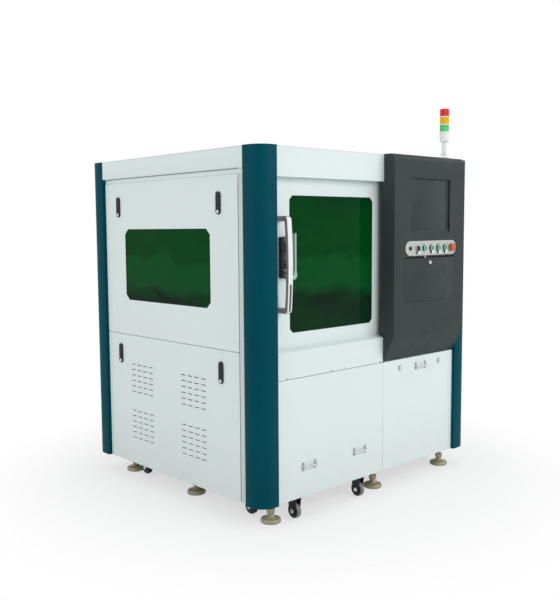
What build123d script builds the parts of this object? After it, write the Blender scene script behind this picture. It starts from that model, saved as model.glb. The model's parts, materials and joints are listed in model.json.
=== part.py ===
from build123d import *
import os

# Enclosed laser cutting machine: welded frame, corner columns, lift-off covers, sliding door,
# operator console, pull-out scrap cart, gantry and cutting head.
# Millimetres, +Z up, front towards -Y, origin on the floor under the middle of the machine.

os.makedirs("parts", exist_ok=True)

# Machine body
body_w = 1600.0
body_d = 1380.0
body_h = 1650.0
floor_gap = 105.0

# Sheet metal, clearances
panel_depth = 18.0
panel_t = 2.0
panel_corner_r = 5.0
seam = 3.0
fit = 0.3
weld_gap = 0.2

# Corner columns
flange = 113.0
front_left_flange = 92.0
column_proud = 18.0
column_r = 80.0
column_t = 3.0

# Console envelope, and how far the machine reaches past its front and back planes
console_gap = 1.0
console_w = 622.0
console_proud = 69.0
console_t = 3.0
plate_t = 3.0
estop_collar_h = 7.0
estop_cap_h = 21.0
front_reach = console_proud + plate_t + estop_collar_h + estop_cap_h
back_reach = column_proud

# Reference planes
left_x = -body_w / 2
right_x = body_w / 2
front_y = (front_reach - body_d - back_reach) / 2
back_y = front_y + body_d
base_z = floor_gap
top_z = base_z + body_h
mid_y = (front_y + back_y) / 2
frame_x0 = left_x + panel_depth
frame_x1 = right_x - panel_depth
frame_y0 = front_y + panel_depth
frame_y1 = back_y - panel_depth
console_x1 = right_x - flange - console_gap
console_x0 = console_x1 - console_w
console_mid_x = (console_x0 + console_x1) / 2

# Welded frame
post_w = 60.0
post_d = 150.0
side_rail_w = 147.0
rail_h = 60.0
end_rail_d = 77.0
mid_rail_lap = 29.0
mid_rail_w = 70.0
deck_h = 581.0
deck_rail_w = 60.0
deck_rail_h = 60.0
sill_h = 129.0
seam_rail_w = 30.0
seam_rail_h = 40.0
ring_w = 60.0
ring_h = 50.0
roof_t = 4.0
jamb_d = 24.0
partition_t = 3.0
mid_x0 = console_x0 - mid_rail_lap
mid_x1 = mid_x0 + mid_rail_w
deck_z = base_z + deck_h
deck_z0 = deck_z - deck_rail_h
side_seam_z = deck_z + sill_h
ring_z1 = top_z - roof_t
ring_z0 = ring_z1 - ring_h

# Fascia bands under the roof
fascia_proud = 16.0
side_fascia_h = 97.0
front_fascia_h = 138.0
soffit_depth = 42.0
soffit_t = 18.0
fascia_gap = 28.0
strip_setback = 3.0
band_z0 = top_z - side_fascia_h
lip_z0 = band_z0 - fascia_gap + seam

# Sliding door
door_clear = 12.0
door_setback = 45.0
door_depth = 25.0
door_sill_lap = 20.0
door_head_lap = 34.0
door_t = 2.5
door_window_left = 139.0
door_window_right = 79.0
door_window_sill = 98.0
door_window_head = 115.0
door_window_chamfer = 20.0
window_t = 5.0
window_lap = 15.0
guide_inset = 1.0
door_x0 = frame_x0 + post_w + door_clear
door_w = mid_x1 - door_x0
door_y0 = front_y + door_setback
door_y1 = door_y0 + door_depth
door_z0 = side_seam_z - door_sill_lap
door_z1 = top_z - front_fascia_h + door_head_lap
door_h = door_z1 - door_z0

# Bow handle and interlock on the door
handle_inset = 52.0
handle_w = 30.0
handle_mid_share = 0.4936
handle_h_share = 0.52
handle_reach = 72.0
handle_bow = 10.0
handle_bar = 18.0
handle_arm = 24.0
handle_bend_r = 20.0
interlock_inset = 86.0
interlock_w = 34.0
interlock_mid_share = 0.5315
interlock_h = 190.0
interlock_depth = 24.0
interlock_r = 5.0
interlock_slot_w = 8.0
interlock_slot_h = 40.0
interlock_slot_depth = 6.0

# Side covers with window, louvres and latches
side_front_gap = 33.0
side_rear_gap = 5.0
side_window_insets = (203.0, 187.0)
side_window_rise_share = 0.233
side_window_h_share = 0.4672
side_window_chamfer = 28.0
upper_latch_insets = (134.0, 131.0)
upper_latch_drop = 72.0
lower_latch_insets = (129.0, 125.0)
lower_latch_drop = 54.5
latch_w = 30.0
latch_h = 106.0
latch_proud = 8.0
lever_w = 21.0
lever_h = 74.0
lever_t = 6.0
lever_end_r = 9.0
lever_top_inset = 9.0
key_barrel_r = 6.0
key_barrel_inset = 13.0
key_slot_w = 2.0
key_slot_depth = 2.0
louvre_w = 36.0
louvre_h = 5.0
louvre_pitch_y = 53.7
louvre_pitch_z = 30.0
louvre_columns = 4
louvre_rows = 6
louvre_place_shares = (0.3145, 0.7137)
louvre_height_shares = (0.3126, 0.6725)

# Console openings and fittings
console_chin_rise = 137.0
console_brow_drop = 24.0
console_brow_back = 22.0
console_edge_r = 5.0
console_tab_clear = 1.0
console_tab_gap = 22.0
monitor_shift = -0.5
monitor_w = 349.0
monitor_mid_share = 0.7434
monitor_h_share = 0.3239
monitor_depth = 62.0
screen_setback = 12.0
screen_rim = 3.0
plate_shift = 2.0
plate_w = 448.0
plate_h = 76.0
plate_mid_share = 0.4956
device_shift = 0.6
device_pitch = 61.2
device_count = 7
device_hole_r = 11.0
device_shank_r = 10.7
bezel_r = 15.0
bezel_h = 5.0
button_proud = 5.0
button_tail = 22.0
button_edge = 1.0
estop_collar_r = 20.0
estop_cap_r = 19.0
estop_dome_h = 8.0
estop_gap = 6.0
estop_inset = 7.0
selector_r = 13.0
selector_disc_h = 5.0
selector_grip_w = 8.0
selector_grip_h = 12.0
selector_grip_l = 23.0
key_face_r = 10.0
key_face_h = 4.0
flap_shift = -6.0
flap_w = 440.0
flap_clear = 15.0
flap_h_share = 0.2533
flap_t = 4.0
flap_gap = 0.5
flap_side_gap = 1.6
flap_head_gap = 7.0
flap_lock_r = 8.0
flap_lock_h = 4.0
flap_lock_drop = 24.0
keyboard_side_inset = 25.0
keyboard_inset = 20.0
keyboard_head_inset = 60.0
keyboard_t = 12.0
key_margin = 10.0
key_columns = 14
key_rows = 5
key_share = 0.8
key_h = 4.0

# Tower light
tower_inset = 159.0
tower_setback = 40.0
tower_flange_r = 28.0
tower_flange_h = 30.0
tower_pole_r = 13.0
tower_pole_h = 99.0
tower_r = 25.0
tower_body_h = 55.0
tower_step = 3.0
lens_heights = (40.0, 43.0, 43.0)
lens_dome_h = 3.0

# Scrap cart
cart_front_top_gap = 3.0
bin_inset = 178.0
bin_clear = 33.0
bin_rear_clear = 378.0
bin_bottom_h = 5.0
bin_top_gap = 101.0
bin_t = 3.0
bin_corner_r = 20.0
cart_caster_insets = (67.0, 95.0)
cart_caster_setback = 35.0
cart_caster_rear_inset = 182.0
cart_handle_insets = (212.5, 187.5)
cart_handle_h = 148.0

# Bow handles of cart and cover
pull_w = 92.0
pull_reach = 22.0
pull_bar = 8.0
pull_grip_h = 10.0
pull_foot_h = 38.0
pull_foot_t = 3.0
pull_bend_r = 6.0

# Lower right cover
cover_handle_shift = 9.5
cover_handle_drop = 55.0
cam_insets = (144.0, 130.0)
cam_drop = 50.0
cam_head_r = 13.0
cam_head_h = 5.0
cam_shank_r = 9.5
cam_arm_l = 30.0
cam_arm_w = 14.0
cam_arm_t = 3.0
cam_arm_gap = 2.0
cam_slot_w = 3.0
cam_slot_depth = 2.5

# Feet and casters
foot_side_inset = 125.0
foot_mid_shift = 40.0
foot_front_inset = 75.0
foot_middle_share = 0.4674
foot_rear_inset = 165.0
foot_r = 49.0
foot_heel_r = 45.0
foot_heel_h = 4.0
foot_rim_h = 12.0
foot_shoulder_r = 45.0
foot_shoulder_h = 19.0
foot_boss_r = 20.0
foot_boss_h = 27.0
foot_waist_r = 12.5
foot_waist_h = 38.0
foot_nut_r = 18.5
foot_nut_h0 = 43.0
foot_nut_h1 = 66.0
stud_r = 10.0
wheel_r = 36.0
wheel_w = 26.0
wheel_bore_r = 6.3
axle_r = 6.0
wheel_crown = 4.0
fork_gap = 1.0
cheek_t = 4.0
cheek_w = 40.0
cheek_top_w = 56.0
caster_plate_t = 4.0
caster_plate_l = 64.0
machine_caster_front_inset = 210.0
machine_caster_rear_inset = 285.0
machine_caster_lift = 5.0

# Cutting bed, slats, rails, gantry and head
bed_left_inset = 60.0
bed_lap = 45.0
bed_end_inset = 170.0
bed_h = 60.0
chute_left_inset = 190.0
chute_clear = 35.0
chute_front_inset = 230.0
chute_rear_inset = 380.0
slat_overlap = 20.0
slat_h = 50.0
slat_t = 3.0
slat_count = 13
tooth_count = 12
tooth_depth = 14.0
rail_inset = 125.0
rail_lap = 5.0
rail_w = 25.0
rail_slope = 84.0
y_rail_h = 30.0
y_rail_margin = 20.0
leg_w = 54.0
leg_d = 140.0
leg_wall = 18.0
beam_lift = 159.0
beam_h = 100.0
beam_shift = 130.0
beam_d = 100.0
carriage_shift = 20.0
carriage_w = 170.0
carriage_t = 24.0
carriage_over = 14.0
carriage_hook_t = 10.0
head_w = 76.0
head_d = 64.0
head_lift = 149.0
head_h = 230.0
head_edge_r = 8.0
nozzle_r = 26.0
nozzle_neck_h = 34.0
nozzle_tip_r = 5.0
nozzle_tip_gap = 15.0

# Laser source cabinet
source_gap = 10.0
source_setback = 60.0
source_clear = 21.0
source_edge_r = 6.0
vent_w = 160.0
vent_h = 8.0
vent_depth = 12.0
vent_pitch = 22.0
vent_rows = 7


def block(x0, x1, y0, y1, z0, z1, mode=Mode.ADD):
    """A straight bar or plate between two corners."""
    with Locations(((x0 + x1) / 2, (y0 + y1) / 2, (z0 + z1) / 2)):
        Box(x1 - x0, y1 - y0, z1 - z0, mode=mode)


def front_plane(x, y, z):
    """A sketch plane facing the front, with its origin at a point."""
    return Plane(origin=(x, y, z), x_dir=(1, 0, 0), z_dir=(0, -1, 0))


def save(piece, name):
    """Label one finished piece and write it."""
    piece.part.label = name
    export_step(piece.part, f"parts/{name}.step")


def side_tray(tray, y0, y1, z0, z1):
    """A left-hand cover: folded sheet with its edges turned back to the frame."""
    with BuildSketch(Plane.YZ.offset(left_x)) as outline:
        with Locations(((y0 + y1) / 2, (z0 + z1) / 2)):
            RectangleRounded(y1 - y0, z1 - z0, panel_corner_r)
    extrude(to_extrude=outline.sketch, amount=panel_depth - fit)
    offset(amount=-panel_t, openings=tray.faces().sort_by(Axis.X)[-1])


def front_tray(tray, x0, x1, z0, z1):
    """A front cover: folded sheet with its edges turned back to the frame."""
    with BuildSketch(front_plane((x0 + x1) / 2, front_y, (z0 + z1) / 2)) as outline:
        RectangleRounded(x1 - x0, z1 - z0, panel_corner_r)
    extrude(to_extrude=outline.sketch, amount=-(panel_depth - fit))
    offset(amount=-panel_t, openings=tray.faces().sort_by(Axis.Y)[-1])


def chamfered_rectangle(width, height, corner):
    """A rectangle with its four corners cut off."""
    Rectangle(width, height)
    chamfer(vertices(), length=corner)


def louvre_cuts(places, heights, plane, depth):
    """Grids of ventilation slots cut through a cover."""
    with BuildSketch(plane) as slots:
        with Locations([(y, z) for y in places for z in heights]):
            with GridLocations(louvre_pitch_y, louvre_pitch_z, louvre_columns, louvre_rows):
                Rectangle(louvre_w, louvre_h)
    extrude(to_extrude=slots.sketch, amount=depth, mode=Mode.SUBTRACT)


# Welded frame: every bar is its own length of section, butt-jointed to the next
with BuildPart() as base_frame:
    rail_z1 = base_z + rail_h
    for x0, x1 in (
        (frame_x0, frame_x0 + side_rail_w),
        (mid_x0, mid_x1),
        (frame_x1 - side_rail_w, frame_x1),
    ):
        block(x0, x1, frame_y0, frame_y1, base_z, rail_z1)
    left_bay = (frame_x0 + side_rail_w + weld_gap, mid_x0 - weld_gap)
    right_bay = (mid_x1 + weld_gap, frame_x1 - side_rail_w - weld_gap)
    block(*right_bay, frame_y0, frame_y0 + end_rail_d, base_z, rail_z1)
    for bay in (left_bay, right_bay):
        block(*bay, frame_y1 - end_rail_d, frame_y1, base_z, rail_z1)
    # Corner posts
    for x0 in (frame_x0, frame_x1 - post_w):
        for y0 in (frame_y0, frame_y1 - post_d):
            block(x0, x0 + post_w, y0, y0 + post_d, rail_z1 + weld_gap, ring_z0 - weld_gap)
    # Deck ring, its middle rail and the two short middle posts
    between_posts_x = (frame_x0 + post_w + weld_gap, frame_x1 - post_w - weld_gap)
    between_posts_y = (frame_y0 + post_d + weld_gap, frame_y1 - post_d - weld_gap)
    between_rails_y = (frame_y0 + deck_rail_w + weld_gap, frame_y1 - deck_rail_w - weld_gap)
    for x0 in (frame_x0, frame_x1 - deck_rail_w):
        block(x0, x0 + deck_rail_w, *between_posts_y, deck_z0, deck_z)
    for y0 in (frame_y0, frame_y1 - deck_rail_w):
        block(*between_posts_x, y0, y0 + deck_rail_w, deck_z0, deck_z)
        block(mid_x0, mid_x1, y0, y0 + deck_rail_w, rail_z1 + weld_gap, deck_z0 - weld_gap)
    block(mid_x0, mid_x1, *between_rails_y, deck_z0, deck_z)
    # Rails behind the joint between upper and lower side covers
    for x0 in (frame_x0, frame_x1 - seam_rail_w):
        z0 = side_seam_z - seam_rail_h / 2
        block(x0, x0 + seam_rail_w, *between_posts_y, z0, z0 + seam_rail_h)
    # Top ring and its middle beam
    between_rings_y = (frame_y0 + ring_w + weld_gap, frame_y1 - ring_w - weld_gap)
    for y0 in (frame_y0, frame_y1 - ring_w):
        block(frame_x0, frame_x1, y0, y0 + ring_w, ring_z0, ring_z1)
    for x0 in (frame_x0, mid_x0, frame_x1 - ring_w):
        block(x0, x0 + ring_w, *between_rings_y, ring_z0, ring_z1)
    # Door jamb, door guide, door track, and the wall between chamber and console bay
    block(between_posts_x[0], left_x + front_left_flange, frame_y0, frame_y0 + jamb_d,
          deck_z + weld_gap, ring_z0 - weld_gap)
    guide_y = (door_y0 + guide_inset, door_y1 - guide_inset)
    block(*between_posts_x, *guide_y, deck_z + weld_gap, door_z0 - fit)
    block(*between_posts_x, *guide_y, door_z1 + fit, ring_z0 - weld_gap)
    block(mid_x1 - partition_t, mid_x1, *between_rails_y, deck_z + weld_gap, ring_z0 - weld_gap)
    # Filler strips that close the joint between the front columns and the side covers
    strip_y1 = front_y + flange + side_front_gap - seam
    strip_z = (base_z, lip_z0 - weld_gap)
    block(left_x + strip_setback, frame_x0 - weld_gap, front_y + front_left_flange + fit, strip_y1, *strip_z)
    block(frame_x1 + weld_gap, right_x - strip_setback, front_y + flange + fit, strip_y1, *strip_z)
save(base_frame, "base_frame")

# Corner columns: bent sheet with a large outer radius and returns that land on the posts
column_return = column_proud + panel_depth
column_x0 = left_x - column_proud
column_x1 = right_x + column_proud
column_y0 = front_y - column_proud
column_y1 = back_y + column_proud
column_rows = (
    (column_x0, column_y0, (1, 0, 0), front_left_flange),
    (column_x1, column_y0, (0, 1, 0), flange),
    (column_x0, column_y1, (0, -1, 0), flange),
    (column_x1, column_y1, (-1, 0, 0), flange),
)
with BuildPart() as corner_columns:
    for column_x, column_y, along, leg_flange in column_rows:
        column_leg = leg_flange + column_proud
        column_corner = Plane(origin=(column_x, column_y, base_z), x_dir=along, z_dir=(0, 0, 1))
        with BuildSketch(column_corner) as column_section:
            Rectangle(column_leg, column_leg, align=Align.MIN)
            fillet(column_section.vertices().sort_by_distance((0, 0, 0))[0], radius=column_r)
            offset(amount=-column_t, mode=Mode.SUBTRACT)
            with Locations((column_return, column_return)):
                Rectangle(column_leg, column_leg, align=Align.MIN, mode=Mode.SUBTRACT)
        extrude(amount=body_h)
        with BuildSketch(column_corner.offset(body_h - column_t)) as column_cap:
            Rectangle(column_leg, column_leg, align=Align.MIN)
            fillet(column_cap.vertices().sort_by_distance((0, 0, 0))[0], radius=column_r)
        extrude(amount=column_t)
save(corner_columns, "corner_columns")

# Roof plate with its four fascia bands
notch = flange + seam
left_notch = front_left_flange + seam
with BuildPart() as roof_cover:
    with BuildSketch(Plane.XY.offset(ring_z1)):
        with Locations((0, mid_y)):
            Rectangle(body_w + 2 * fascia_proud, body_d)
        for x_side in (-1, 1):
            for y_side in (-1, 1):
                corner_notch = left_notch if (x_side, y_side) == (-1, -1) else notch
                with Locations((x_side * (body_w / 2 + column_proud), mid_y + y_side * body_d / 2)):
                    Rectangle(2 * (corner_notch + column_proud), 2 * corner_notch, mode=Mode.SUBTRACT)
        with Locations((console_x0 - fit, front_y)):
            Rectangle(body_w, panel_depth + fit, align=Align.MIN, mode=Mode.SUBTRACT)
    extrude(amount=roof_t)
    fascia_z1 = ring_z1 - weld_gap
    for x_side in (-1, 1):
        side_x = x_side * (body_w / 2 + fascia_proud)
        inner_x = x_side * (body_w / 2 - panel_depth)
        lip_x = x_side * (body_w / 2 - strip_setback)
        band_y0 = front_y + (left_notch if x_side < 0 else notch)
        block(min(side_x, inner_x), max(side_x, inner_x), band_y0, back_y - notch, band_z0, fascia_z1)
        block(min(lip_x, inner_x), max(lip_x, inner_x), band_y0, back_y - notch, lip_z0, band_z0)
    block(left_x + notch, right_x - notch, frame_y1, back_y, band_z0, fascia_z1)
    block(left_x + notch, right_x - notch, frame_y1, back_y - strip_setback, lip_z0, band_z0)
    with BuildSketch(Plane.YZ.offset(left_x + left_notch)):
        with BuildLine():
            fascia_z0 = top_z - front_fascia_h
            Polyline(
                (front_y, fascia_z0),
                (front_y + soffit_depth, fascia_z0),
                (front_y + soffit_depth, fascia_z0 + soffit_t),
                (frame_y0, fascia_z0 + soffit_t),
                (frame_y0, fascia_z1),
                (front_y, fascia_z1),
                close=True,
            )
        make_face()
    extrude(amount=console_x0 - fit - left_x - left_notch)
save(roof_cover, "roof_cover")

# Sill under the door: a channel that stands on the deck rail
with BuildPart() as front_sill:
    with BuildSketch(Plane.YZ.offset(left_x + left_notch)):
        with BuildLine():
            Polyline(
                (front_y + soffit_depth, side_seam_z),
                (front_y, side_seam_z),
                (front_y, deck_z),
                (front_y + soffit_depth, deck_z),
            )
            offset(amount=panel_t, side=Side.LEFT)
        make_face()
    extrude(amount=console_x0 - fit - left_x - left_notch)
save(front_sill, "front_sill")

# Side covers, left: upper with window, lower with louvres
side_y0 = front_y + flange + side_front_gap
side_y1 = back_y - flange - side_rear_gap
lower_z1 = side_seam_z - seam / 2
upper_z0 = side_seam_z + seam / 2
upper_z1 = band_z0 - fascia_gap
upper_h = upper_z1 - upper_z0
lower_h = lower_z1 - base_z
side_window_y = (side_y0 + side_window_insets[0] + side_y1 - side_window_insets[1]) / 2
side_window_w = side_y1 - side_y0 - sum(side_window_insets)
side_window_h = side_window_h_share * upper_h
side_window_z = upper_z0 + side_window_rise_share * upper_h + side_window_h / 2
left_face = Plane.YZ.offset(left_x)
louvre_ys = [side_y0 + share * (side_y1 - side_y0) for share in louvre_place_shares]
louvre_zs = [base_z + share * lower_h for share in louvre_height_shares]

with BuildPart() as left_upper_panel:
    side_tray(left_upper_panel, side_y0, side_y1, upper_z0, upper_z1)
    with BuildSketch(left_face):
        with Locations((side_window_y, side_window_z)):
            chamfered_rectangle(side_window_w, side_window_h, side_window_chamfer)
    extrude(amount=panel_depth, mode=Mode.SUBTRACT)
save(left_upper_panel, "left_upper_panel")

with BuildPart() as left_window:
    with BuildSketch(left_face.offset(panel_t)):
        with Locations((side_window_y, side_window_z)):
            Rectangle(side_window_w + 2 * window_lap, side_window_h + 2 * window_lap)
    extrude(amount=window_t)
save(left_window, "left_window")

with BuildPart() as left_lower_panel:
    side_tray(left_lower_panel, side_y0, side_y1, base_z, lower_z1)
    louvre_cuts(louvre_ys, louvre_zs, left_face, panel_depth)
save(left_lower_panel, "left_lower_panel")

# Side covers, right: plain above, one bank of louvres below
with BuildPart() as right_side_panels:
    side_tray(right_side_panels, side_y0, side_y1, base_z, lower_z1)
    louvre_cuts(louvre_ys[:1], louvre_zs, left_face, panel_depth)
    with BuildSketch(left_face):
        with Locations(((side_y0 + side_y1) / 2, (upper_z0 + upper_z1) / 2)):
            RectangleRounded(side_y1 - side_y0, upper_h, panel_corner_r)
    extrude(amount=panel_depth - fit)
    with BuildSketch(left_face.offset(panel_t)):
        with Locations(((side_y0 + side_y1) / 2, (upper_z0 + upper_z1) / 2)):
            Rectangle(side_y1 - side_y0 - 2 * panel_t, upper_h - 2 * panel_t)
    extrude(amount=panel_depth, mode=Mode.SUBTRACT)
    mirror(about=Plane.YZ, mode=Mode.REPLACE)
save(right_side_panels, "right_side_panels")

# Rear cover with two banks of louvres
rear_face = Plane(origin=(0, back_y, base_z), x_dir=(-1, 0, 0), z_dir=(0, 1, 0))
rear_w = body_w - 2 * notch
rear_h = upper_z1 - base_z
rear_louvre_places = (-rear_w / 4, rear_w / 4)
rear_louvre_heights = (louvre_height_shares[0] * lower_h,)
with BuildPart() as rear_panel:
    with BuildSketch(rear_face):
        with Locations((0, rear_h / 2)):
            RectangleRounded(rear_w, rear_h, panel_corner_r)
    extrude(amount=-panel_depth)
    offset(amount=-panel_t, openings=rear_panel.faces().sort_by(Axis.Y)[0])
    louvre_cuts(rear_louvre_places, rear_louvre_heights, rear_face, -panel_depth)
save(rear_panel, "rear_panel")

# Latches of the left covers: an escutcheon with a pocket and a key barrel, and a lever in the pocket
pocket_w = lever_w + 2 * fit
pocket_h = lever_h + 2 * fit
pocket_depth = lever_t + fit


def lever_pivot(latch_top):
    """Height of a lever's pivot above the floor."""
    return latch_top - lever_top_inset - lever_t / 2


def latch_base(y, latch_top):
    """One escutcheon on the face of a left-hand cover."""
    pocket_z1 = lever_pivot(latch_top) + lever_t / 2 + fit
    barrel_z = latch_top - latch_h + key_barrel_inset
    with BuildSketch(left_face) as rim:
        with Locations((y, latch_top - latch_h / 2)):
            SlotOverall(latch_h, latch_w, rotation=90)
    extrude(to_extrude=rim.sketch, amount=-latch_proud)
    block(left_x - latch_proud, left_x - latch_proud + pocket_depth, y - pocket_w / 2,
          y + pocket_w / 2, pocket_z1 - pocket_h, pocket_z1, mode=Mode.SUBTRACT)
    with BuildSketch(left_face.offset(-latch_proud)) as barrel:
        with Locations((y, barrel_z)):
            Rectangle(key_slot_w, key_barrel_r)
    extrude(to_extrude=barrel.sketch, amount=key_slot_depth, mode=Mode.SUBTRACT)


def latch_lever(y, latch_top):
    """One lever: rounded about its pivot at the top, with a rounded grip end below."""
    pivot_z = lever_pivot(latch_top)
    pivot_x = left_x - latch_proud + lever_t / 2
    reach = lever_h - lever_t / 2
    with BuildSketch(Plane.XZ.offset(-(y - lever_w / 2))) as side:
        with Locations((pivot_x, pivot_z)):
            Circle(lever_t / 2)
            Rectangle(lever_t, reach, align=(Align.CENTER, Align.MAX))
    extrude(to_extrude=side.sketch, amount=-lever_w)


upper_latch_ys = (side_y0 + upper_latch_insets[0], side_y1 - upper_latch_insets[1])
lower_latch_ys = (side_y0 + lower_latch_insets[0], side_y1 - lower_latch_insets[1])
upper_latch_z1 = upper_z1 - upper_latch_drop
lower_latch_z1 = lower_z1 - lower_latch_drop
with BuildPart() as upper_latch_bases:
    for y in upper_latch_ys:
        latch_base(y, upper_latch_z1)
save(upper_latch_bases, "upper_latch_bases")

with BuildPart() as lower_latch_bases:
    for y in lower_latch_ys:
        latch_base(y, lower_latch_z1)
save(lower_latch_bases, "lower_latch_bases")

lever_rows = (
    ("upper_front_lever", upper_latch_ys[0], upper_latch_z1),
    ("upper_rear_lever", upper_latch_ys[1], upper_latch_z1),
    ("lower_front_lever", lower_latch_ys[0], lower_latch_z1),
    ("lower_rear_lever", lower_latch_ys[1], lower_latch_z1),
)
for lever_name, lever_y, latch_z1 in lever_rows:
    with BuildPart() as lever:
        latch_lever(lever_y, latch_z1)
        grip_edges = lever.edges().filter_by(Axis.X).group_by(Axis.Z)[0]
        fillet(grip_edges, radius=lever_end_r)
    save(lever, lever_name)

# Sliding door: folded tray, window behind its front sheet, bow handle and interlock switch
door_window_w = door_w - door_window_left - door_window_right
door_window_h = door_h - door_window_sill - door_window_head
door_window_x = door_x0 + door_window_left + door_window_w / 2
door_window_z = door_z0 + door_window_sill + door_window_h / 2
with BuildPart() as door_panel:
    with BuildSketch(front_plane(door_x0 + door_w / 2, door_y0, (door_z0 + door_z1) / 2)):
        Rectangle(door_w, door_h)
    extrude(amount=-door_depth)
    offset(amount=-door_t, openings=door_panel.faces().sort_by(Axis.Y)[-1])
    with BuildSketch(front_plane(door_window_x, door_y0, door_window_z)):
        chamfered_rectangle(door_window_w, door_window_h, door_window_chamfer)
    extrude(amount=-door_depth, mode=Mode.SUBTRACT)
save(door_panel, "door_panel")

with BuildPart() as door_window:
    with BuildSketch(front_plane(door_window_x, door_y0 + door_t, door_window_z)):
        Rectangle(door_window_w + 2 * window_lap, door_window_h + 2 * window_lap)
    extrude(amount=-window_t)
save(door_window, "door_window")

handle_x0 = door_x0 + handle_inset
handle_z0 = door_z0 + (handle_mid_share - handle_h_share / 2) * door_h
handle_z1 = handle_z0 + handle_h_share * door_h
handle_mid_z = (handle_z0 + handle_z1) / 2
handle_y0 = door_y0 - handle_reach
with BuildPart() as door_handle:
    with BuildSketch(Plane.YZ.offset(handle_x0)) as handle_side:
        with BuildLine():
            Polyline(
                (handle_y0, handle_z0),
                (door_y0, handle_z0),
                (door_y0, handle_z1),
                (handle_y0, handle_z1),
            )
            ThreePointArc(
                (handle_y0, handle_z1), (handle_y0 - handle_bow, handle_mid_z), (handle_y0, handle_z0)
            )
        make_face()
        fillet(handle_side.vertices().group_by(Axis.X)[0], radius=handle_bend_r)
        with BuildLine():
            inner_y = handle_y0 + handle_bar
            inner_z0 = handle_z0 + handle_arm
            inner_z1 = handle_z1 - handle_arm
            Polyline((inner_y, inner_z0), (door_y0, inner_z0), (door_y0, inner_z1), (inner_y, inner_z1))
            ThreePointArc((inner_y, inner_z1), (inner_y - handle_bow, handle_mid_z), (inner_y, inner_z0))
        make_face(mode=Mode.SUBTRACT)
    extrude(amount=handle_w)
save(door_handle, "door_handle")

interlock_x = door_x0 + interlock_inset
interlock_z = door_z0 + interlock_mid_share * door_h
with BuildPart() as door_interlock:
    with BuildSketch(front_plane(interlock_x, door_y0, interlock_z)):
        RectangleRounded(interlock_w, interlock_h, interlock_r)
    extrude(amount=interlock_depth)
    with BuildSketch(front_plane(interlock_x, door_y0 - interlock_depth, interlock_z)):
        with GridLocations(interlock_w, interlock_h / 2, 1, 2):
            Rectangle(interlock_slot_w, interlock_slot_h)
    extrude(amount=-interlock_slot_depth, mode=Mode.SUBTRACT)
save(door_interlock, "door_interlock")

# Operator console: a deep pressed shell with a sloping brow and chin, open at the back
console_y0 = front_y - console_proud
console_top_y = console_y0 + console_brow_back
face_z0 = deck_z + console_chin_rise
face_z1 = top_z - console_brow_drop
face_h = face_z1 - face_z0
with BuildPart() as console_shell:
    with BuildSketch(Plane.YZ.offset(console_x0)):
        with BuildLine():
            Polyline(
                (frame_y0, deck_z + seam),
                (front_y, deck_z + seam),
                (console_y0, face_z0),
                (console_y0, face_z1),
                (console_top_y, top_z),
                (frame_y0, top_z),
                close=True,
            )
        make_face()
    extrude(amount=console_w)
    upright_edges = console_shell.edges().filter_by(Axis.Z).group_by(Axis.Y)[0]
    fillet(upright_edges, radius=console_edge_r)
    offset(amount=-console_t, openings=console_shell.faces().sort_by(Axis.Y)[-1])
    # The left wall runs back to the door
    block(console_x0, console_x0 + console_t, frame_y0, door_y0 - console_tab_gap,
          side_seam_z + console_tab_clear, top_z - front_fascia_h - console_tab_clear)
    # Openings for the monitor, the control devices and the keyboard flap
    monitor_x = console_mid_x + monitor_shift
    monitor_z = face_z0 + monitor_mid_share * face_h
    monitor_h = monitor_h_share * face_h
    device_z = face_z0 + plate_mid_share * face_h
    flap_x = console_mid_x + flap_shift
    flap_h = flap_h_share * face_h
    flap_z0 = device_z - plate_h / 2 - flap_clear - flap_h
    with BuildSketch(front_plane(monitor_x, console_y0, monitor_z)):
        Rectangle(monitor_w, monitor_h)
    extrude(amount=-monitor_depth, mode=Mode.SUBTRACT)
    with BuildSketch(front_plane(flap_x, console_y0, flap_z0 - flap_gap)):
        Rectangle(flap_w + 2 * flap_side_gap, flap_h + flap_gap + flap_head_gap,
                  align=(Align.CENTER, Align.MIN))
    extrude(amount=-monitor_depth, mode=Mode.SUBTRACT)
    device_x0 = console_mid_x + device_shift - (device_count - 1) / 2 * device_pitch
    device_xs = [device_x0 + place * device_pitch for place in range(device_count)]
    device_xs[-1] = device_xs[-1] - estop_inset
    with BuildSketch(front_plane(0, console_y0, device_z)):
        with Locations([(x, 0) for x in device_xs]):
            Circle(device_hole_r)
    extrude(amount=-console_t, mode=Mode.SUBTRACT)
save(console_shell, "console_shell")

# Panel-mounted monitor: housing with its screen set back inside a narrow rim
with BuildPart() as monitor:
    with BuildSketch(front_plane(monitor_x, console_y0, monitor_z)):
        Rectangle(monitor_w - 2 * fit, monitor_h - 2 * fit)
    extrude(amount=-monitor_depth)
    with BuildSketch(front_plane(monitor_x, console_y0, monitor_z)):
        Rectangle(monitor_w - 2 * screen_rim, monitor_h - 2 * screen_rim)
    extrude(amount=-screen_setback, mode=Mode.SUBTRACT)
save(monitor, "monitor")

# Control plate with its raised bezels
plate_x = console_mid_x + plate_shift
plate_y = console_y0 - plate_t
with BuildPart() as button_plate:
    with BuildSketch(front_plane(plate_x, console_y0, device_z)):
        SlotOverall(plate_w, plate_h)
    extrude(amount=plate_t)
    with BuildSketch(front_plane(0, plate_y, device_z)):
        with Locations([(x, 0) for x in device_xs[2:6]]):
            Circle(bezel_r)
    extrude(amount=bezel_h)
    with BuildSketch(front_plane(device_xs[6], plate_y, device_z)):
        Circle(estop_collar_r)
    extrude(amount=estop_collar_h)
    with BuildSketch(front_plane(0, console_y0, device_z)):
        with Locations([(x, 0) for x in device_xs]):
            Circle(device_hole_r)
    extrude(amount=front_reach, mode=Mode.SUBTRACT)
save(button_plate, "button_plate")

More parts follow.
